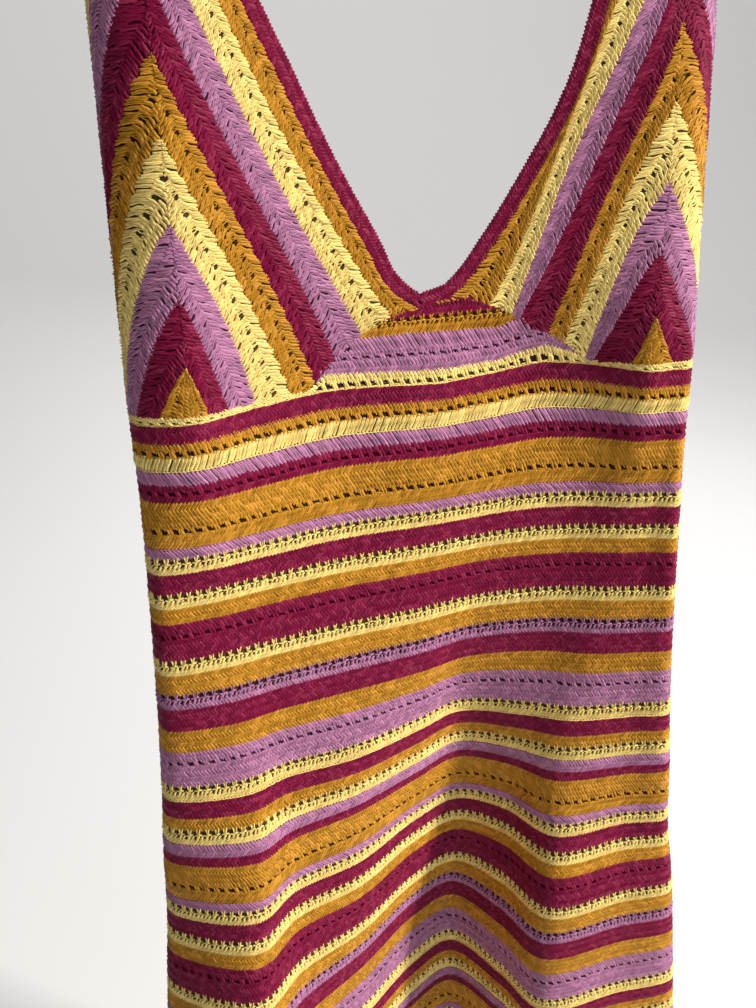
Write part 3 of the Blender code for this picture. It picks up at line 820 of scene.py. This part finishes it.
NECKLINE = np.array([
    (57.2, 0, 0), (58.6, 1.5, 10), (61.5, 6.2, 15.5), (65.9, 10.7, 19.7), (72, 15.4, 25), (84, 20.8, 33),
    (101, 29.5, 44), (118, 38.8, 54), (134, 47, 63.2), (150, 54.8, 71.5), (165, 61.8, 78), (180, 68.5, 83),
    (204, 80, 89.3), (240, 95.5, 98.5), (270, 108, 107.5), (296.3, 117, 115.5), (310, 119, 119),
]) / 1000
CUP_TIP_HEIGHT = 0.0480
CUP_FOOT = np.array([
    (-190, 7), (-70, 7), (-58, 18), (-51, 25), (-38, 35), (-21, 44), (-3, 49), (25, 53), (48, 45), (64, 34),
    (82, 25), (94, 17), (106, 7.8), (190, 7),
]) / 1000


def bar_height(x):
    """Height of the hanger bar's middle line: a straight slope each way with a round crown."""
    return BAR_CROWN_HEIGHT - BAR_SLOPE * (np.sqrt(np.square(x) + BAR_CROWN_RUN**2) - BAR_CROWN_RUN)


def over_bar(x, depth, height, way):
    """Bends the part of a cloth above the bar's middle round its top, front to back or back."""
    middle = bar_height(x)
    slope = BAR_SLOPE * x / np.sqrt(np.square(x) + BAR_CROWN_RUN**2)
    angle = np.clip((height - middle) / BAR_REACH, 0, math.pi / 2)
    bent = height > middle
    depth = np.where(bent, BAR_DEPTH - way * BAR_REACH * np.cos(angle), depth)
    return depth, np.where(bent, middle + BAR_REACH * np.sqrt(1 + slope**2) * np.sin(angle), height)


def run_along(line):
    """How far along a line (n, c) each of its points lies."""
    return np.concatenate([[0.0], np.cumsum(np.linalg.norm(np.diff(line, axis=0), axis=1))])


def cup_cloth(side, rows=110):
    """A bust panel's face. Places count from its corner line: inwards along x, outwards along the arc."""
    heights = np.linspace(CLOTH_FOOT, CLOTH_TOP, rows)
    across = np.linspace(-APEX_X, CUP_ARC, 184)
    stations = np.linspace(0, RIGHT_SEAM, 900)
    curves = sections(heights, stations)
    between = (stations > 1) & (stations < RIGHT_SEAM - 1)
    beyond = stations >= RIGHT_RIDGE if side > 0 else stations <= LEFT_RIDGE
    lattice = np.empty((rows, len(across), 3))
    outer = across > 0
    for row, (height, curve) in enumerate(zip(heights, curves)):
        x = side * (APEX_X + across)
        y = np.interp(x, curve[between, 0], curve[between, 1])
        rim = curve[beyond][::side]
        x[outer], y[outer] = read_line(across[outer], run_along(rim), rim).T
        lattice[row, :, 0] = x
        lattice[row, :, 1], lattice[row, :, 2] = over_bar(x, y, np.full(len(x), height), 1)
    whole = np.full(rows, APEX_X + CUP_ARC)
    return Cloth(lattice + to_world, heights[0], heights[-1], np.full(rows, -APEX_X), whole, turn=side)


def neck_line(side, inset, count=60):
    """One side of the V neck's edge from its point to the bar, moved into the cloth square to itself."""
    heights = np.linspace(NECKLINE[0, 0], NECK_TOP_HEIGHT, count)
    table = NECKLINE[:, [1 if side < 0 else 2, 0]]
    line = through(NECKLINE[None, :, 0], table[None], heights[None])[0]
    way = np.gradient(line, axis=0)
    way /= np.linalg.norm(way, axis=1)[:, None]
    way[0] = (1.0, 0.0)
    moved = line + inset * np.stack([way[:, 1], -way[:, 0]], axis=1)
    return np.concatenate([np.maximum(moved, (0.0, 0.0)), moved[-1:] + (0.0, 0.022)])


def corner_lines(side, across):
    """Heights of a panel's eight stripe edges (..., 8) at places across from its corner line.

    Inwards each is a cubic of the place across as far as its foot, and goes on straight below it.
    Outwards it falls from its peak by a straight share and a square share of the place across.
    """
    peak, first, second, third, foot = CUP_LINES[side].T
    inwards = np.maximum(0.0, -across[..., None])
    run = np.minimum(inwards, foot)
    slope = first + 2 * second * run + 3 * third * run**2
    inner = peak + first * run + second * run**2 + third * run**3 + slope * (inwards - run)
    outwards = np.maximum(0.0, across[..., None])
    straight, square = OUTER_DROP[side]
    return inner - outwards * straight - square * outwards**2


def stripe_edge(number, side, arm):
    """The line between two stripes of a panel on one arm, from below its foot to past its peak."""
    if number == 8 and arm < 0:
        edge = neck_line(side, EDGING_WIDTH + SEAM_GAP)
        below = edge[:1] + (edge[0] - edge[3]) * 6
        return np.concatenate([below, edge]) - (APEX_X, 0.0)
    if number < 0:
        return np.array([(0.0, -0.05), (0.0, CUP_LINES[side][0, 0])])
    run = np.linspace(0.060 if arm > 0 else 0.132, 0.0, 40)
    lines = corner_lines(side, arm * run)
    height = lines[:, min(number, 7)] + (0.034 if number == 8 else 0.0)
    kept = height > -0.035
    line = np.stack([arm * run, height], axis=1)[kept]
    return np.concatenate([line, line[-1:] + (line[-1] - line[-2]) * np.array([[2.0], [8.0]])])


def trim(starts, ends, limits):
    """Cuts strands where a limit turns negative, and drops those that lie wholly past one."""
    starts, ends = starts.copy(), ends.copy()
    kept = np.ones(len(starts), dtype=bool)
    for limit in limits:
        first, last = limit(starts), limit(ends)
        kept &= np.maximum(first, last) > 0.0004
        share = np.clip(first / np.where(first == last, 1.0, first - last), 0, 1)[:, None]
        crossing = starts * (1 - share) + ends * share
        starts = np.where((first < 0)[:, None], crossing, starts)
        ends = np.where((last < 0)[:, None], crossing, ends)
    kept &= np.linalg.norm(ends - starts, axis=1) > 0.0007
    return starts, ends, kept


STRIPE_ROWS = {
    "holes": (("back", 0.0, 0.26), ("back", 0.23, 0.47), ("vee", 0.45, 0.66), ("shell", 0.62, 1.02)),
    "close": (("back", 0.0, 0.27), ("back", 0.23, 0.50), ("lean", 0.48, 0.77), ("lean", 0.73, 1.02)),
}
SHELL = ((-0.05, 0.84, 1.2), (0.02, 0.97, 1.6), (0.10, 1.04, 2.0), (0.06, 1.00, 1.6), (0.00, 0.88, 1.2))
SHELL_CELLS = 4.5
PAIR_WIDTH = 0.9


def panel_stitches(kind, count, rng):
    """Strands of a row of a bust panel: they lean either way, or form shells with holes between."""
    cell = np.arange(-6, count + 6, dtype=float)
    group = np.arange(-6, count + 6, SHELL_CELLS)
    loose = 0.08
    if kind == "back":
        groups = [(cell, -0.10, cell + 1.8, 1.06, 0.94, 1.2)]
        loose = 0.16
    elif kind == "lean":
        groups = [(cell + 2.2, -0.10, cell, 1.06, 0.94, 1.3)]
        loose = 0.14
    elif kind == "shell":
        groups = [
            (group + 2.4 + 0.9 * turn, low, group + 0.4 + 0.88 * turn, high, 0.94, crown)
            for turn, (low, high, crown) in enumerate(SHELL)
        ]
    else:
        groups = [
            (group + 1.9 + 0.9 * turn, -0.25, group + 2.5 + 0.9 * turn, 1.25, 0.98, 0.9) for turn in range(3)
        ]
        groups.append((group + 0.85, -0.20, group + 1.25, 1.00, 0.34, 0.9))
        groups.append((group + 1.60, -0.10, group + 1.30, 1.10, 0.34, 0.7))
    laid = []
    for a0, c0, a1, c1, width, crown in groups:
        shake = rng.uniform(-1, 1, (4, len(a0))) * loose
        laid.append((a0 + shake[0], c0 + shake[1] * 0.5, a1 + shake[2], c1 + shake[3] * 0.5, width, crown))
    return laid


def panel_row(store, cloth, lower, upper, kind, colour, limits, rng):
    """Lays one row of a bust panel between two lines, with its stitches square to the row."""
    way = (lower[-1] - lower[0]) / np.linalg.norm(lower[-1] - lower[0])
    way = way + (upper[-1] - upper[0]) / np.linalg.norm(upper[-1] - upper[0])
    way /= np.linalg.norm(way)
    low_run, high_run = lower @ way, upper @ way
    start, end = min(low_run[0], high_run[0]), max(low_run[-1], high_run[-1])
    count = round((end - start) / PITCH)

    def place(along, up):
        run = start + along * PITCH
        low, high = read_line(run, low_run, lower), read_line(run, high_run, upper)
        return low * (1 - up)[:, None] + high * up[:, None]

    for a0, c0, a1, c1, width, crown in panel_stitches(kind, count, rng):
        starts, ends, kept = trim(place(a0, c0), place(a1, c1), limits)
        starts, ends = starts[kept], ends[kept]
        if len(starts):
            half = np.full(len(starts), STRAND_HALF * width)
            bend = rng.uniform(-0.08, 0.14, len(starts))[:, None]
            store.setdefault(colour, []).append(
                lay_strands(cloth, starts, ends, half, CROWN * crown, bend, rng, width > PAIR_WIDTH)
            )


def between(lower, upper, share):
    """The line a share of the way from one line to another, matched by how far up each has gone."""
    way = lower[-1] - lower[0]
    way /= np.linalg.norm(way)
    low_run, high_run = lower @ way, upper @ way
    run = np.linspace(min(low_run[0], high_run[0]), max(low_run[-1], high_run[-1]), 60)

    def past(line, line_run):
        return read_line(run, line_run, line) + way * (run - np.clip(run, line_run[0], line_run[-1]))[:, None]

    return past(lower, low_run) * (1 - share) + past(upper, high_run) * share


def stripe_at(side, places):
    """Which stripe of its panel a place lies in: the number of stripe edges below it."""
    return (places[..., 1, None] > corner_lines(side, places[..., 0])).sum(axis=-1)


def cup_piece(side, seed):
    """One bust panel with its strap: its ground, and its strands joined by colour."""
    name = "cup_left" if side < 0 else "cup_right"
    rng = np.random.default_rng(seed)
    cloth = cup_cloth(side)
    store = {}

    def world_x(places):
        return side * (APEX_X + np.minimum(places[:, 0], 0.0))

    def above_foot(places):
        return places[:, 1] - from_table(CUP_FOOT, world_x(places))

    def below_shoulder(places):
        return bar_height(world_x(places)) + SHOULDER_TURN - places[:, 1]

    def past_middle(places):
        return places[:, 0] + APEX_X - CUP_TIP_X

    def inside_armhole(places):
        taper = STRAP_HALF + STRAP_TAPER * np.maximum(0.0, STRAP_TAPER_TOP - places[:, 1])
        return np.minimum(taper, CUP_ARC - 0.002) - places[:, 0]

    for arm in (-1, 1):
        limits = [above_foot, below_shoulder, past_middle, lambda places: arm * places[:, 0] + 0.0003]
        if arm > 0:
            limits.append(inside_armhole)
        for number, colour in enumerate(CUP_STRIPES):
            lower, upper = stripe_edge(number - 1, side, arm), stripe_edge(number, side, arm)
            peak = CUP_LINES[side][min(number, 7), 0] + (0.05 if number == 8 else 0.003)
            bounds = limits + [lambda places, peak=peak: peak - places[:, 1]]
            for kind, first, last in STRIPE_ROWS["holes" if colour in ("golden", "lemon") else "close"]:
                foot, head = between(lower, upper, first), between(lower, upper, last)
                panel_row(store, cloth, foot, head, kind, colour, bounds, rng)

    edge = neck_line(side, EDGING_WIDTH + SEAM_GAP, count=90)[:-1]
    edge = np.concatenate([[(CUP_TIP_X, CUP_TIP_HEIGHT)], edge])
    upward = (edge[:, 1] - edge[0, 1]) / (edge[-1, 1] - edge[0, 1])
    inner = np.linspace(1, 0, 42, endpoint=False)[None]
    outer = np.linspace(0, 1, 20)[None]
    base = SEAM_ROW_HEIGHT + SEAM_GAP / 2
    top_x = edge[-1, 0]
    top = bar_height(APEX_X - inner * (APEX_X - top_x))
    foot = base + BRIDGE_SLOPE * np.maximum(0.0, BRIDGE_HALF - APEX_X + inner * (APEX_X - CUP_TIP_X))
    foot = np.minimum(foot, CUP_TIP_HEIGHT)
    inner_height = foot + (top - foot) * upward[:, None]
    inner_across = -inner * (APEX_X - edge[:, :1])
    outer_height = base + (bar_height(APEX_X + outer * STRAP_HALF) - base) * upward[:, None]
    taper = STRAP_HALF + STRAP_TAPER * np.maximum(0.0, STRAP_TAPER_TOP - outer_height)
    outer_across = outer * np.minimum(taper, CUP_ARC - 0.0012)
    places = np.stack([
        np.concatenate([inner_across, outer_across], axis=1),
        np.concatenate([inner_height, outer_height], axis=1),
    ], axis=-1)
    turn = np.linspace(0, SHOULDER_TURN, 7)[1:]
    over = places[-1][None] + np.stack([np.zeros(6), turn], axis=1)[:, None]
    places = np.concatenate([places, over])
    faces_at = (places[:-1, :-1] + places[1:, 1:]) / 2
    order = np.array([COLOUR_ORDER.index(colour) for colour in CUP_STRIPES])
    colours = order[stripe_at(side, faces_at)]
    sew_on(
        name, ground_piece(name, cloth, places, colours), store,
        flat=CUP_FLAT, held="stretched", area=CUP_AREA, rests_on=["hanger_bar"],
    )
    return cloth


cup_left_cloth = cup_piece(-1, 31)
cup_right_cloth = cup_piece(1, 32)


# The bridge between the panels is two orchid rows and one golden row, worked on the ladder
# row's stitches. Its upper edge is sewn to the feet of both panels.
BRIDGE_ORCHID_TOP = np.array([
    (-70, 35), (-5, 35), (15, 34), (49, 33), (56, 36.5), (100, 36.5),
]) / 1000
BRIDGE_GOLD_TOP, BRIDGE_GOLD_FOOT = 0.0445, 0.034
BRIDGE_END_CUT, BRIDGE_OVERLAP, BRIDGE_TUCK = 0.004, 0.0006, 0.0015
BRIDGE_ROWS = (
    ("orchid", "/", 0.0, 0.20), ("orchid", "\\", 0.20, 0.40), ("orchid", "h", 0.40, 0.64),
    ("orchid", "l", 0.62, 1.0), ("golden", "f", 0.0, 0.5), ("golden", "s", 0.5, 1.0),
    ("raspberry", "/", 0.0, 0.5), ("raspberry", "\\", 0.5, 1.0),
)


def bridge_cloth(rows=40, columns=220):
    """The front's face between the panels, with places counted across from its middle."""
    heights = np.linspace(0.0, 0.062, rows)
    x = np.linspace(-0.110, 0.112, columns)
    stations = np.linspace(1, RIGHT_SEAM - 1, 900)
    curves = sections(heights, stations)
    lattice = np.empty((rows, columns, 3))
    lattice[..., 0] = x
    lattice[..., 1] = [np.interp(x, curve[:, 0], curve[:, 1]) for curve in curves]
    lattice[..., 2] = heights[:, None]
    starts, widths = np.full(rows, x[0]), np.full(rows, x[-1] - x[0])
    return Cloth(lattice + to_world, heights[0], heights[-1], starts, widths)


def bridge_piece(seed):
    """The bridge's ground and strands."""
    rng = np.random.default_rng(seed)
    cloth = bridge_cloth()
    store = {}
    x = np.arange(-0.072, 0.104, PITCH)
    low, high = from_table(LADDER_TOP, x), from_table(BRIDGE_ORCHID_TOP, x)

    def line(height):
        return np.stack([x, np.broadcast_to(height, x.shape)], axis=1)

    def under_panels(places):
        return from_table(CUP_FOOT, places[:, 0]) - places[:, 1] > -BRIDGE_OVERLAP

    gold = np.full(len(x), BRIDGE_GOLD_TOP)
    levels = {"orchid": (low, high), "golden": (high, gold)}
    levels["raspberry"] = (gold, np.maximum(from_table(CUP_FOOT, x), gold) + BRIDGE_TUCK)
    for colour, kind, first, last in BRIDGE_ROWS:
        foot, head = levels[colour]
        foot_line, head_line = line(foot + (head - foot) * first), line(foot + (head - foot) * last)
        add_row(store, cloth, kind, foot_line, head_line, colour, rng, under_panels)

    reach = BRIDGE_HALF - BRIDGE_END_CUT
    across = np.linspace(-reach, reach, 41)
    base = SEAM_ROW_HEIGHT + SEAM_GAP / 2
    top = base + BRIDGE_SLOPE * (BRIDGE_HALF - np.maximum(np.abs(across), CUP_TIP_X)) - 1.2 * SEAM_GAP
    top = np.minimum(top, CUP_TIP_HEIGHT - 1.2 * SEAM_GAP)
    upward = np.linspace(0, 1, 9)[:, None]
    places = np.stack([np.broadcast_to(across, (9, 41)), base + (top - base) * upward], axis=-1)
    centre = (places[:-1, :-1] + places[1:, 1:]) / 2
    orchid, golden = COLOUR_ORDER.index("orchid"), COLOUR_ORDER.index("golden")
    colours = np.where(centre[..., 1] < BRIDGE_GOLD_FOOT, orchid, golden)
    sew_on(
        "bridge", ground_piece("bridge", cloth, places, colours), store,
        flat=(2 * reach, BRIDGE_SLOPE * BRIDGE_HALF), held="stretched",
        area=float(reach * BRIDGE_SLOPE * BRIDGE_HALF), rests_on=["under_bust_row_front_cloth"],
    )


bridge_piece(41)


# The neck edging is a narrow border of close raspberry stitches, worked round the V neck from
# one shoulder seam to the other over the panels' edges.
EDGING_CLOSENESS = 1.1


def edging_half(side, cloth, store, rng):
    """Lays one side's three rows of stitches, and gives its ribbon's points and its length."""
    outer, inner = neck_line(side, 0.0), neck_line(side, EDGING_WIDTH)
    outer[-1], inner[-1] = outer[-2] + (0, SHOULDER_TURN), inner[-2] + (0, SHOULDER_TURN)
    run = run_along(outer)
    steps = np.linspace(0, run[-1], round(run[-1] / PITCH * EDGING_CLOSENESS) + 1)
    edge, foot = read_line(steps, run, outer) - (APEX_X, 0), read_line(steps, run, inner) - (APEX_X, 0)
    low = foot
    for number, kind in enumerate("/\\/"):
        high = foot + (edge - foot) * (number + 1) / 3
        add_row(store, cloth, kind, low, high, "raspberry", rng)
        low = high
    ribbon = np.stack([outer, (inner + outer) / 2, inner], axis=1) - (APEX_X, 0.0)
    points, normals = cloth.read(ribbon)
    return points - normals * GROUND_DEPTH, run[-1]


def edging_piece(seed):
    """The edging's ground and strands, one half on each panel's face."""
    rng = np.random.default_rng(seed)
    store = {}
    left, left_length = edging_half(-1, cup_left_cloth, store, rng)
    right, right_length = edging_half(1, cup_right_cloth, store, rng)
    grid = np.concatenate([left[::-1], right[1:]])
    mesh = fill_mesh("neck_edging_cloth", grid.reshape(-1, 3), grid_faces(len(grid), 3))
    ground = walled("neck_edging", mesh, [grounds[0], grounds[len(YARNS)]])
    length = float(left_length + right_length)
    sew_on(
        "neck_edging", ground, store, flat=(length, LEAST_SHEET), area=length * EDGING_WIDTH,
        held="stretched", rests_on=["cup_left_cloth", "cup_right_cloth"],
    )


edging_piece(51)


# The back is an open one: a golden band stands on the ladder row between the side seams, and two
# plain straps go up from it to the shoulder seams on the hanger.
BAND_TOP, BAND_DIP, BAND_DIP_HALF = 0.045, 0.007, 0.100
BACK_STRAP = np.array([
    (45, 108, 146), (200, 112, 148), (275, 117, 157), (320, 118, 158),
]) / 1000
STRAP_FREE_RUN, STRAP_FLAT_WIDTH = 0.060, 0.038
BAND_ROWS = (("golden", "/h\\"), ("lemon", "s"), ("golden", "/h"), ("raspberry", "/\\"))
BAND_SHARE = 0.93
STRAP_STRIPES = (
    ("raspberry", "/", 0.0, 0.13), ("orchid", "/\\", 0.13, 0.38), ("orchid", "/\\", 0.38, 0.62),
    ("orchid", "/\\", 0.62, 0.87), ("raspberry", "/", 0.87, 1.0),
)


def band_piece(seed):
    """The back band, whose upper edge dips in the middle."""
    rng = np.random.default_rng(seed)
    cloth = tube_cloth(RIGHT_SEAM, STATIONS, 0.0, 0.052, 40)
    base = SEAM_ROW_HEIGHT + SEAM_GAP / 2
    store = {}
    kinds = [(colour, kind) for colour, group in BAND_ROWS for kind in group]
    shares = np.cumsum([0.0] + [ROW_SHARE[kind] for _, kind in kinds])

    def band_row(share, count):
        line = level_row(cloth, base, count)
        x = cloth.read(line)[0][:, 0]
        top = BAND_TOP - BAND_DIP * np.maximum(0.0, 1 - (x / BAND_DIP_HALF) ** 2)
        line[:, 1] = base + (top - base) * share
        return line

    wide = float(cloth.width(base))
    count = whole_cells(wide)
    for (colour, kind), low, high in zip(kinds, shares[:-1] / shares[-1], shares[1:] / shares[-1]):
        add_row(store, cloth, kind, band_row(low, count), band_row(min(high, 0.985), count), colour, rng)
    places = np.array([band_row(share, 72) for share in np.linspace(0, 1, 9)])
    colours = np.full((8, 72), COLOUR_ORDER.index("golden"))
    sew_on(
        "back_band", ground_piece("back_band", cloth, places, colours), store,
        flat=(wide, BAND_TOP - base), held="stretched", area=wide * (BAND_TOP - base) * BAND_SHARE,
        rests_on=["under_bust_row_back_cloth"],
    )


band_piece(61)


def back_strap_piece(side, seed):
    """One back strap, worked lengthwise: orchid rows between raspberry ones at its edges."""
    name = "back_strap_left" if side < 0 else "back_strap_right"
    rng = np.random.default_rng(seed)
    rows, columns = 90, 30
    heights = np.linspace(BAND_TOP + SEAM_GAP, CLOTH_TOP, rows)
    share = np.linspace(0, 1, columns)[None]
    inner, outer = (from_table(BACK_STRAP, heights, column)[:, None] for column in (1, 2))
    x = side * (inner + share * (outer - inner))
    curves = sections(heights, np.linspace(RIGHT_SEAM, STATIONS, 400))
    near = np.array([np.interp(row, curve[::-1, 0], curve[::-1, 1]) for row, curve in zip(x, curves)])
    clear = np.array([np.interp(BACK_R_X, curve[::-1, 0], curve[::-1, 1]) for curve in curves])[:, None]
    free = ease((heights - heights[0]) / STRAP_FREE_RUN)[:, None]
    y, z = over_bar(x, near * (1 - free) + clear * free, np.broadcast_to(heights[:, None], x.shape), -1)
    lattice = np.stack([x, y, z], axis=-1)
    widths = (outer - inner)[:, 0]
    cloth = Cloth(lattice + to_world, heights[0], heights[-1], np.zeros(rows), widths, turn=-side)
    store = {}
    top = float(bar_height(side * APEX_X)) + SHOULDER_TURN
    upward = np.linspace(heights[0], top, round((top - heights[0]) / PITCH) + 1)
    wide = cloth.width(upward)
    for colour, kinds, first, last in STRAP_STRIPES:
        low = np.stack([wide * first, upward], axis=1)
        high = np.stack([wide * last, upward], axis=1)
        if len(kinds) == 1:
            add_row(store, cloth, kinds, low, high, colour, rng)
        else:
            half = (low + high) / 2
            add_row(store, cloth, kinds[0], low, half, colour, rng)
            add_row(store, cloth, kinds[1], half, high, colour, rng)
    bend = top - SHOULDER_TURN
    levels = np.concatenate([np.linspace(heights[0], bend, 30), np.linspace(bend, top, 7)[1:]])
    across = cloth.width(levels)[:, None] * np.linspace(0, 1, 9)
    places = np.stack([across, np.broadcast_to(levels[:, None], across.shape)], axis=-1)
    colours = np.full((len(levels) - 1, 8), COLOUR_ORDER.index("orchid"))
    colours[:, [0, -1]] = COLOUR_ORDER.index("raspberry")
    sew_on(
        name, ground_piece(name, cloth, places, colours), store,
        flat=(STRAP_FLAT_WIDTH, float(top - heights[0])), held="stretched",
        rests_on=["hanger_bar", "back_band_cloth"],
    )


back_strap_piece(-1, 71)
back_strap_piece(1, 72)


# The hanger's bar is one bent stick of pale varnished birch with rounded ends.
BAR_RADIUS = 0.0070
BAR_HALF_LENGTH = 0.205


def swept(path, radii, sides=24):
    """A round profile carried along a path, whose radius at each point may shrink to a tip."""
    way = np.gradient(path, axis=0)
    way /= np.linalg.norm(way, axis=1)[:, None]
    flat = np.array([0.0, 1.0, 0.0])
    side = np.cross(way, flat)
    turn = np.linspace(0, 2 * math.pi, sides, endpoint=False)
    ring = np.cos(turn)[None, :, None] * flat + np.sin(turn)[None, :, None] * side[:, None]
    points = path[:, None] + ring * radii[:, None, None]
    index = np.arange(len(path) * sides).reshape(len(path), sides)
    beside = np.roll(index, -1, axis=1)
    faces = np.stack([index[:-1], beside[:-1], beside[1:], index[1:]], axis=-1).reshape(-1, 4)
    return points, faces


def rounded(run, length, radius):
    """The radius along a rod whose two ends are half balls: the root of the circle's chord."""
    left = np.minimum(run, length - run)
    inside = np.clip(left / radius, 0, 1)
    return radius * np.sqrt(np.clip(inside * (2 - inside), 0.0009, 1))


def rod_piece(name, path, radius, material, sides=24):
    """A rod with round ends in place of its plain solid."""
    run = run_along(path)
    length = run[-1]
    ends = length - radius * np.array([1, 0.8, 0.6, 0.4, 0.2, 0.08, 0.0])
    steps = np.concatenate([length - ends[::-1], np.linspace(radius, length - radius, 160)[1:-1], ends])
    points, faces = swept(read_line(steps, run, path), rounded(steps, length, radius), sides)
    mesh = fill_mesh(name, points.reshape(-1, 3) + to_world, faces)
    mesh.materials.append(material)
    piece = show(name, mesh)
    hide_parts(name.removesuffix("_rod"))


def make_birch():
    """Varnished birch: fine pale grain along the bar, with small pores and a satin coat."""
    shader, shade, material = start_material("birch")
    place = shade.node("ShaderNodeTexCoord", output=3)
    long = shade.node("ShaderNodeVectorMath", {"operation": "MULTIPLY"}, {0: place, 1: (12.0, 260.0, 260.0)})
    grain = shade.node("ShaderNodeTexNoise", {}, {"Vector": long, "Scale": 1.0, "Detail": 4.0})
    broad = shade.node("ShaderNodeTexNoise", {}, {"Vector": place, "Scale": 18.0, "Detail": 2.0})
    tone = (grain * 0.8 + broad * 0.5 - 0.25).limit()
    connect(shade, tone.mix((0.52, 0.36, 0.20, 1), (0.74, 0.58, 0.39, 1)), shader, "Base Color")
    bump = shade.node("ShaderNodeBump", {}, {"Strength": 0.25, "Distance": 0.0002, "Height": grain})
    connect(shade, bump, shader, "Normal")
    connect(shade, grain * 0.15 + 0.30, shader, "Roughness")
    shader.inputs["Coat Weight"].default_value = 0.35
    shader.inputs["Coat Roughness"].default_value = 0.25
    return material


bar_x = np.linspace(-BAR_HALF_LENGTH, BAR_HALF_LENGTH, 240)
bar_path = np.stack([bar_x, np.full(240, BAR_DEPTH), bar_height(bar_x)], axis=1)
rod_piece("hanger_bar_rod", bar_path, BAR_RADIUS, make_birch())

# The hook is one bright steel wire. Its stem stands on the bar's crown, swings to one side and
# turns over the rod.
WIRE_RADIUS = 0.0018
HOOK_RADIUS, HOOK_RISE, HOOK_TURN = 0.021, 0.075, 0.030
HOOK_END_ANGLE = math.radians(-42)


def make_steel():
    """Drawn steel wire: fine lines along it and faint stains."""
    shader, shade, material = start_material("wire_steel")
    place = shade.node("ShaderNodeTexCoord", output=3)
    drawn = shade.node("ShaderNodeTexNoise", {}, {"Vector": place, "Scale": 900.0, "Detail": 2.0})
    stain = shade.node("ShaderNodeTexNoise", {}, {"Vector": place, "Scale": 60.0, "Detail": 3.0})
    connect(shade, stain.mix((0.50, 0.50, 0.51, 1), (0.68, 0.68, 0.69, 1)), shader, "Base Color")
    connect(shade, drawn * 0.18 + stain * 0.14 + 0.14, shader, "Roughness")
    shader.inputs["Metallic"].default_value = 1.0
    return material


hook_centre = BAR_CROWN_HEIGHT + BAR_RADIUS + SEAM_GAP + HOOK_RISE
stem_foot = BAR_CROWN_HEIGHT + BAR_RADIUS + SEAM_GAP
stem_rise = HOOK_RISE - HOOK_TURN
swing = np.linspace(0, 1, 24)
stem = np.stack([-HOOK_RADIUS * ease(swing), stem_foot + stem_rise + HOOK_TURN * swing], axis=1)
turn_angle = np.linspace(math.pi, HOOK_END_ANGLE, 70)[1:]
bow = np.stack([HOOK_RADIUS * np.cos(turn_angle), hook_centre + HOOK_RADIUS * np.sin(turn_angle)], axis=1)
straight = np.stack([np.zeros(8), np.linspace(stem_foot, stem_foot + stem_rise, 9)[:-1]], axis=1)
hook_line = np.concatenate([straight, stem, bow])
hook_path = np.stack([hook_line[:, 0], np.full(len(hook_line), BAR_DEPTH), hook_line[:, 1]], axis=1)
rod_piece("hanger_hook_rod", hook_path, WIRE_RADIUS, make_steel(), 14)
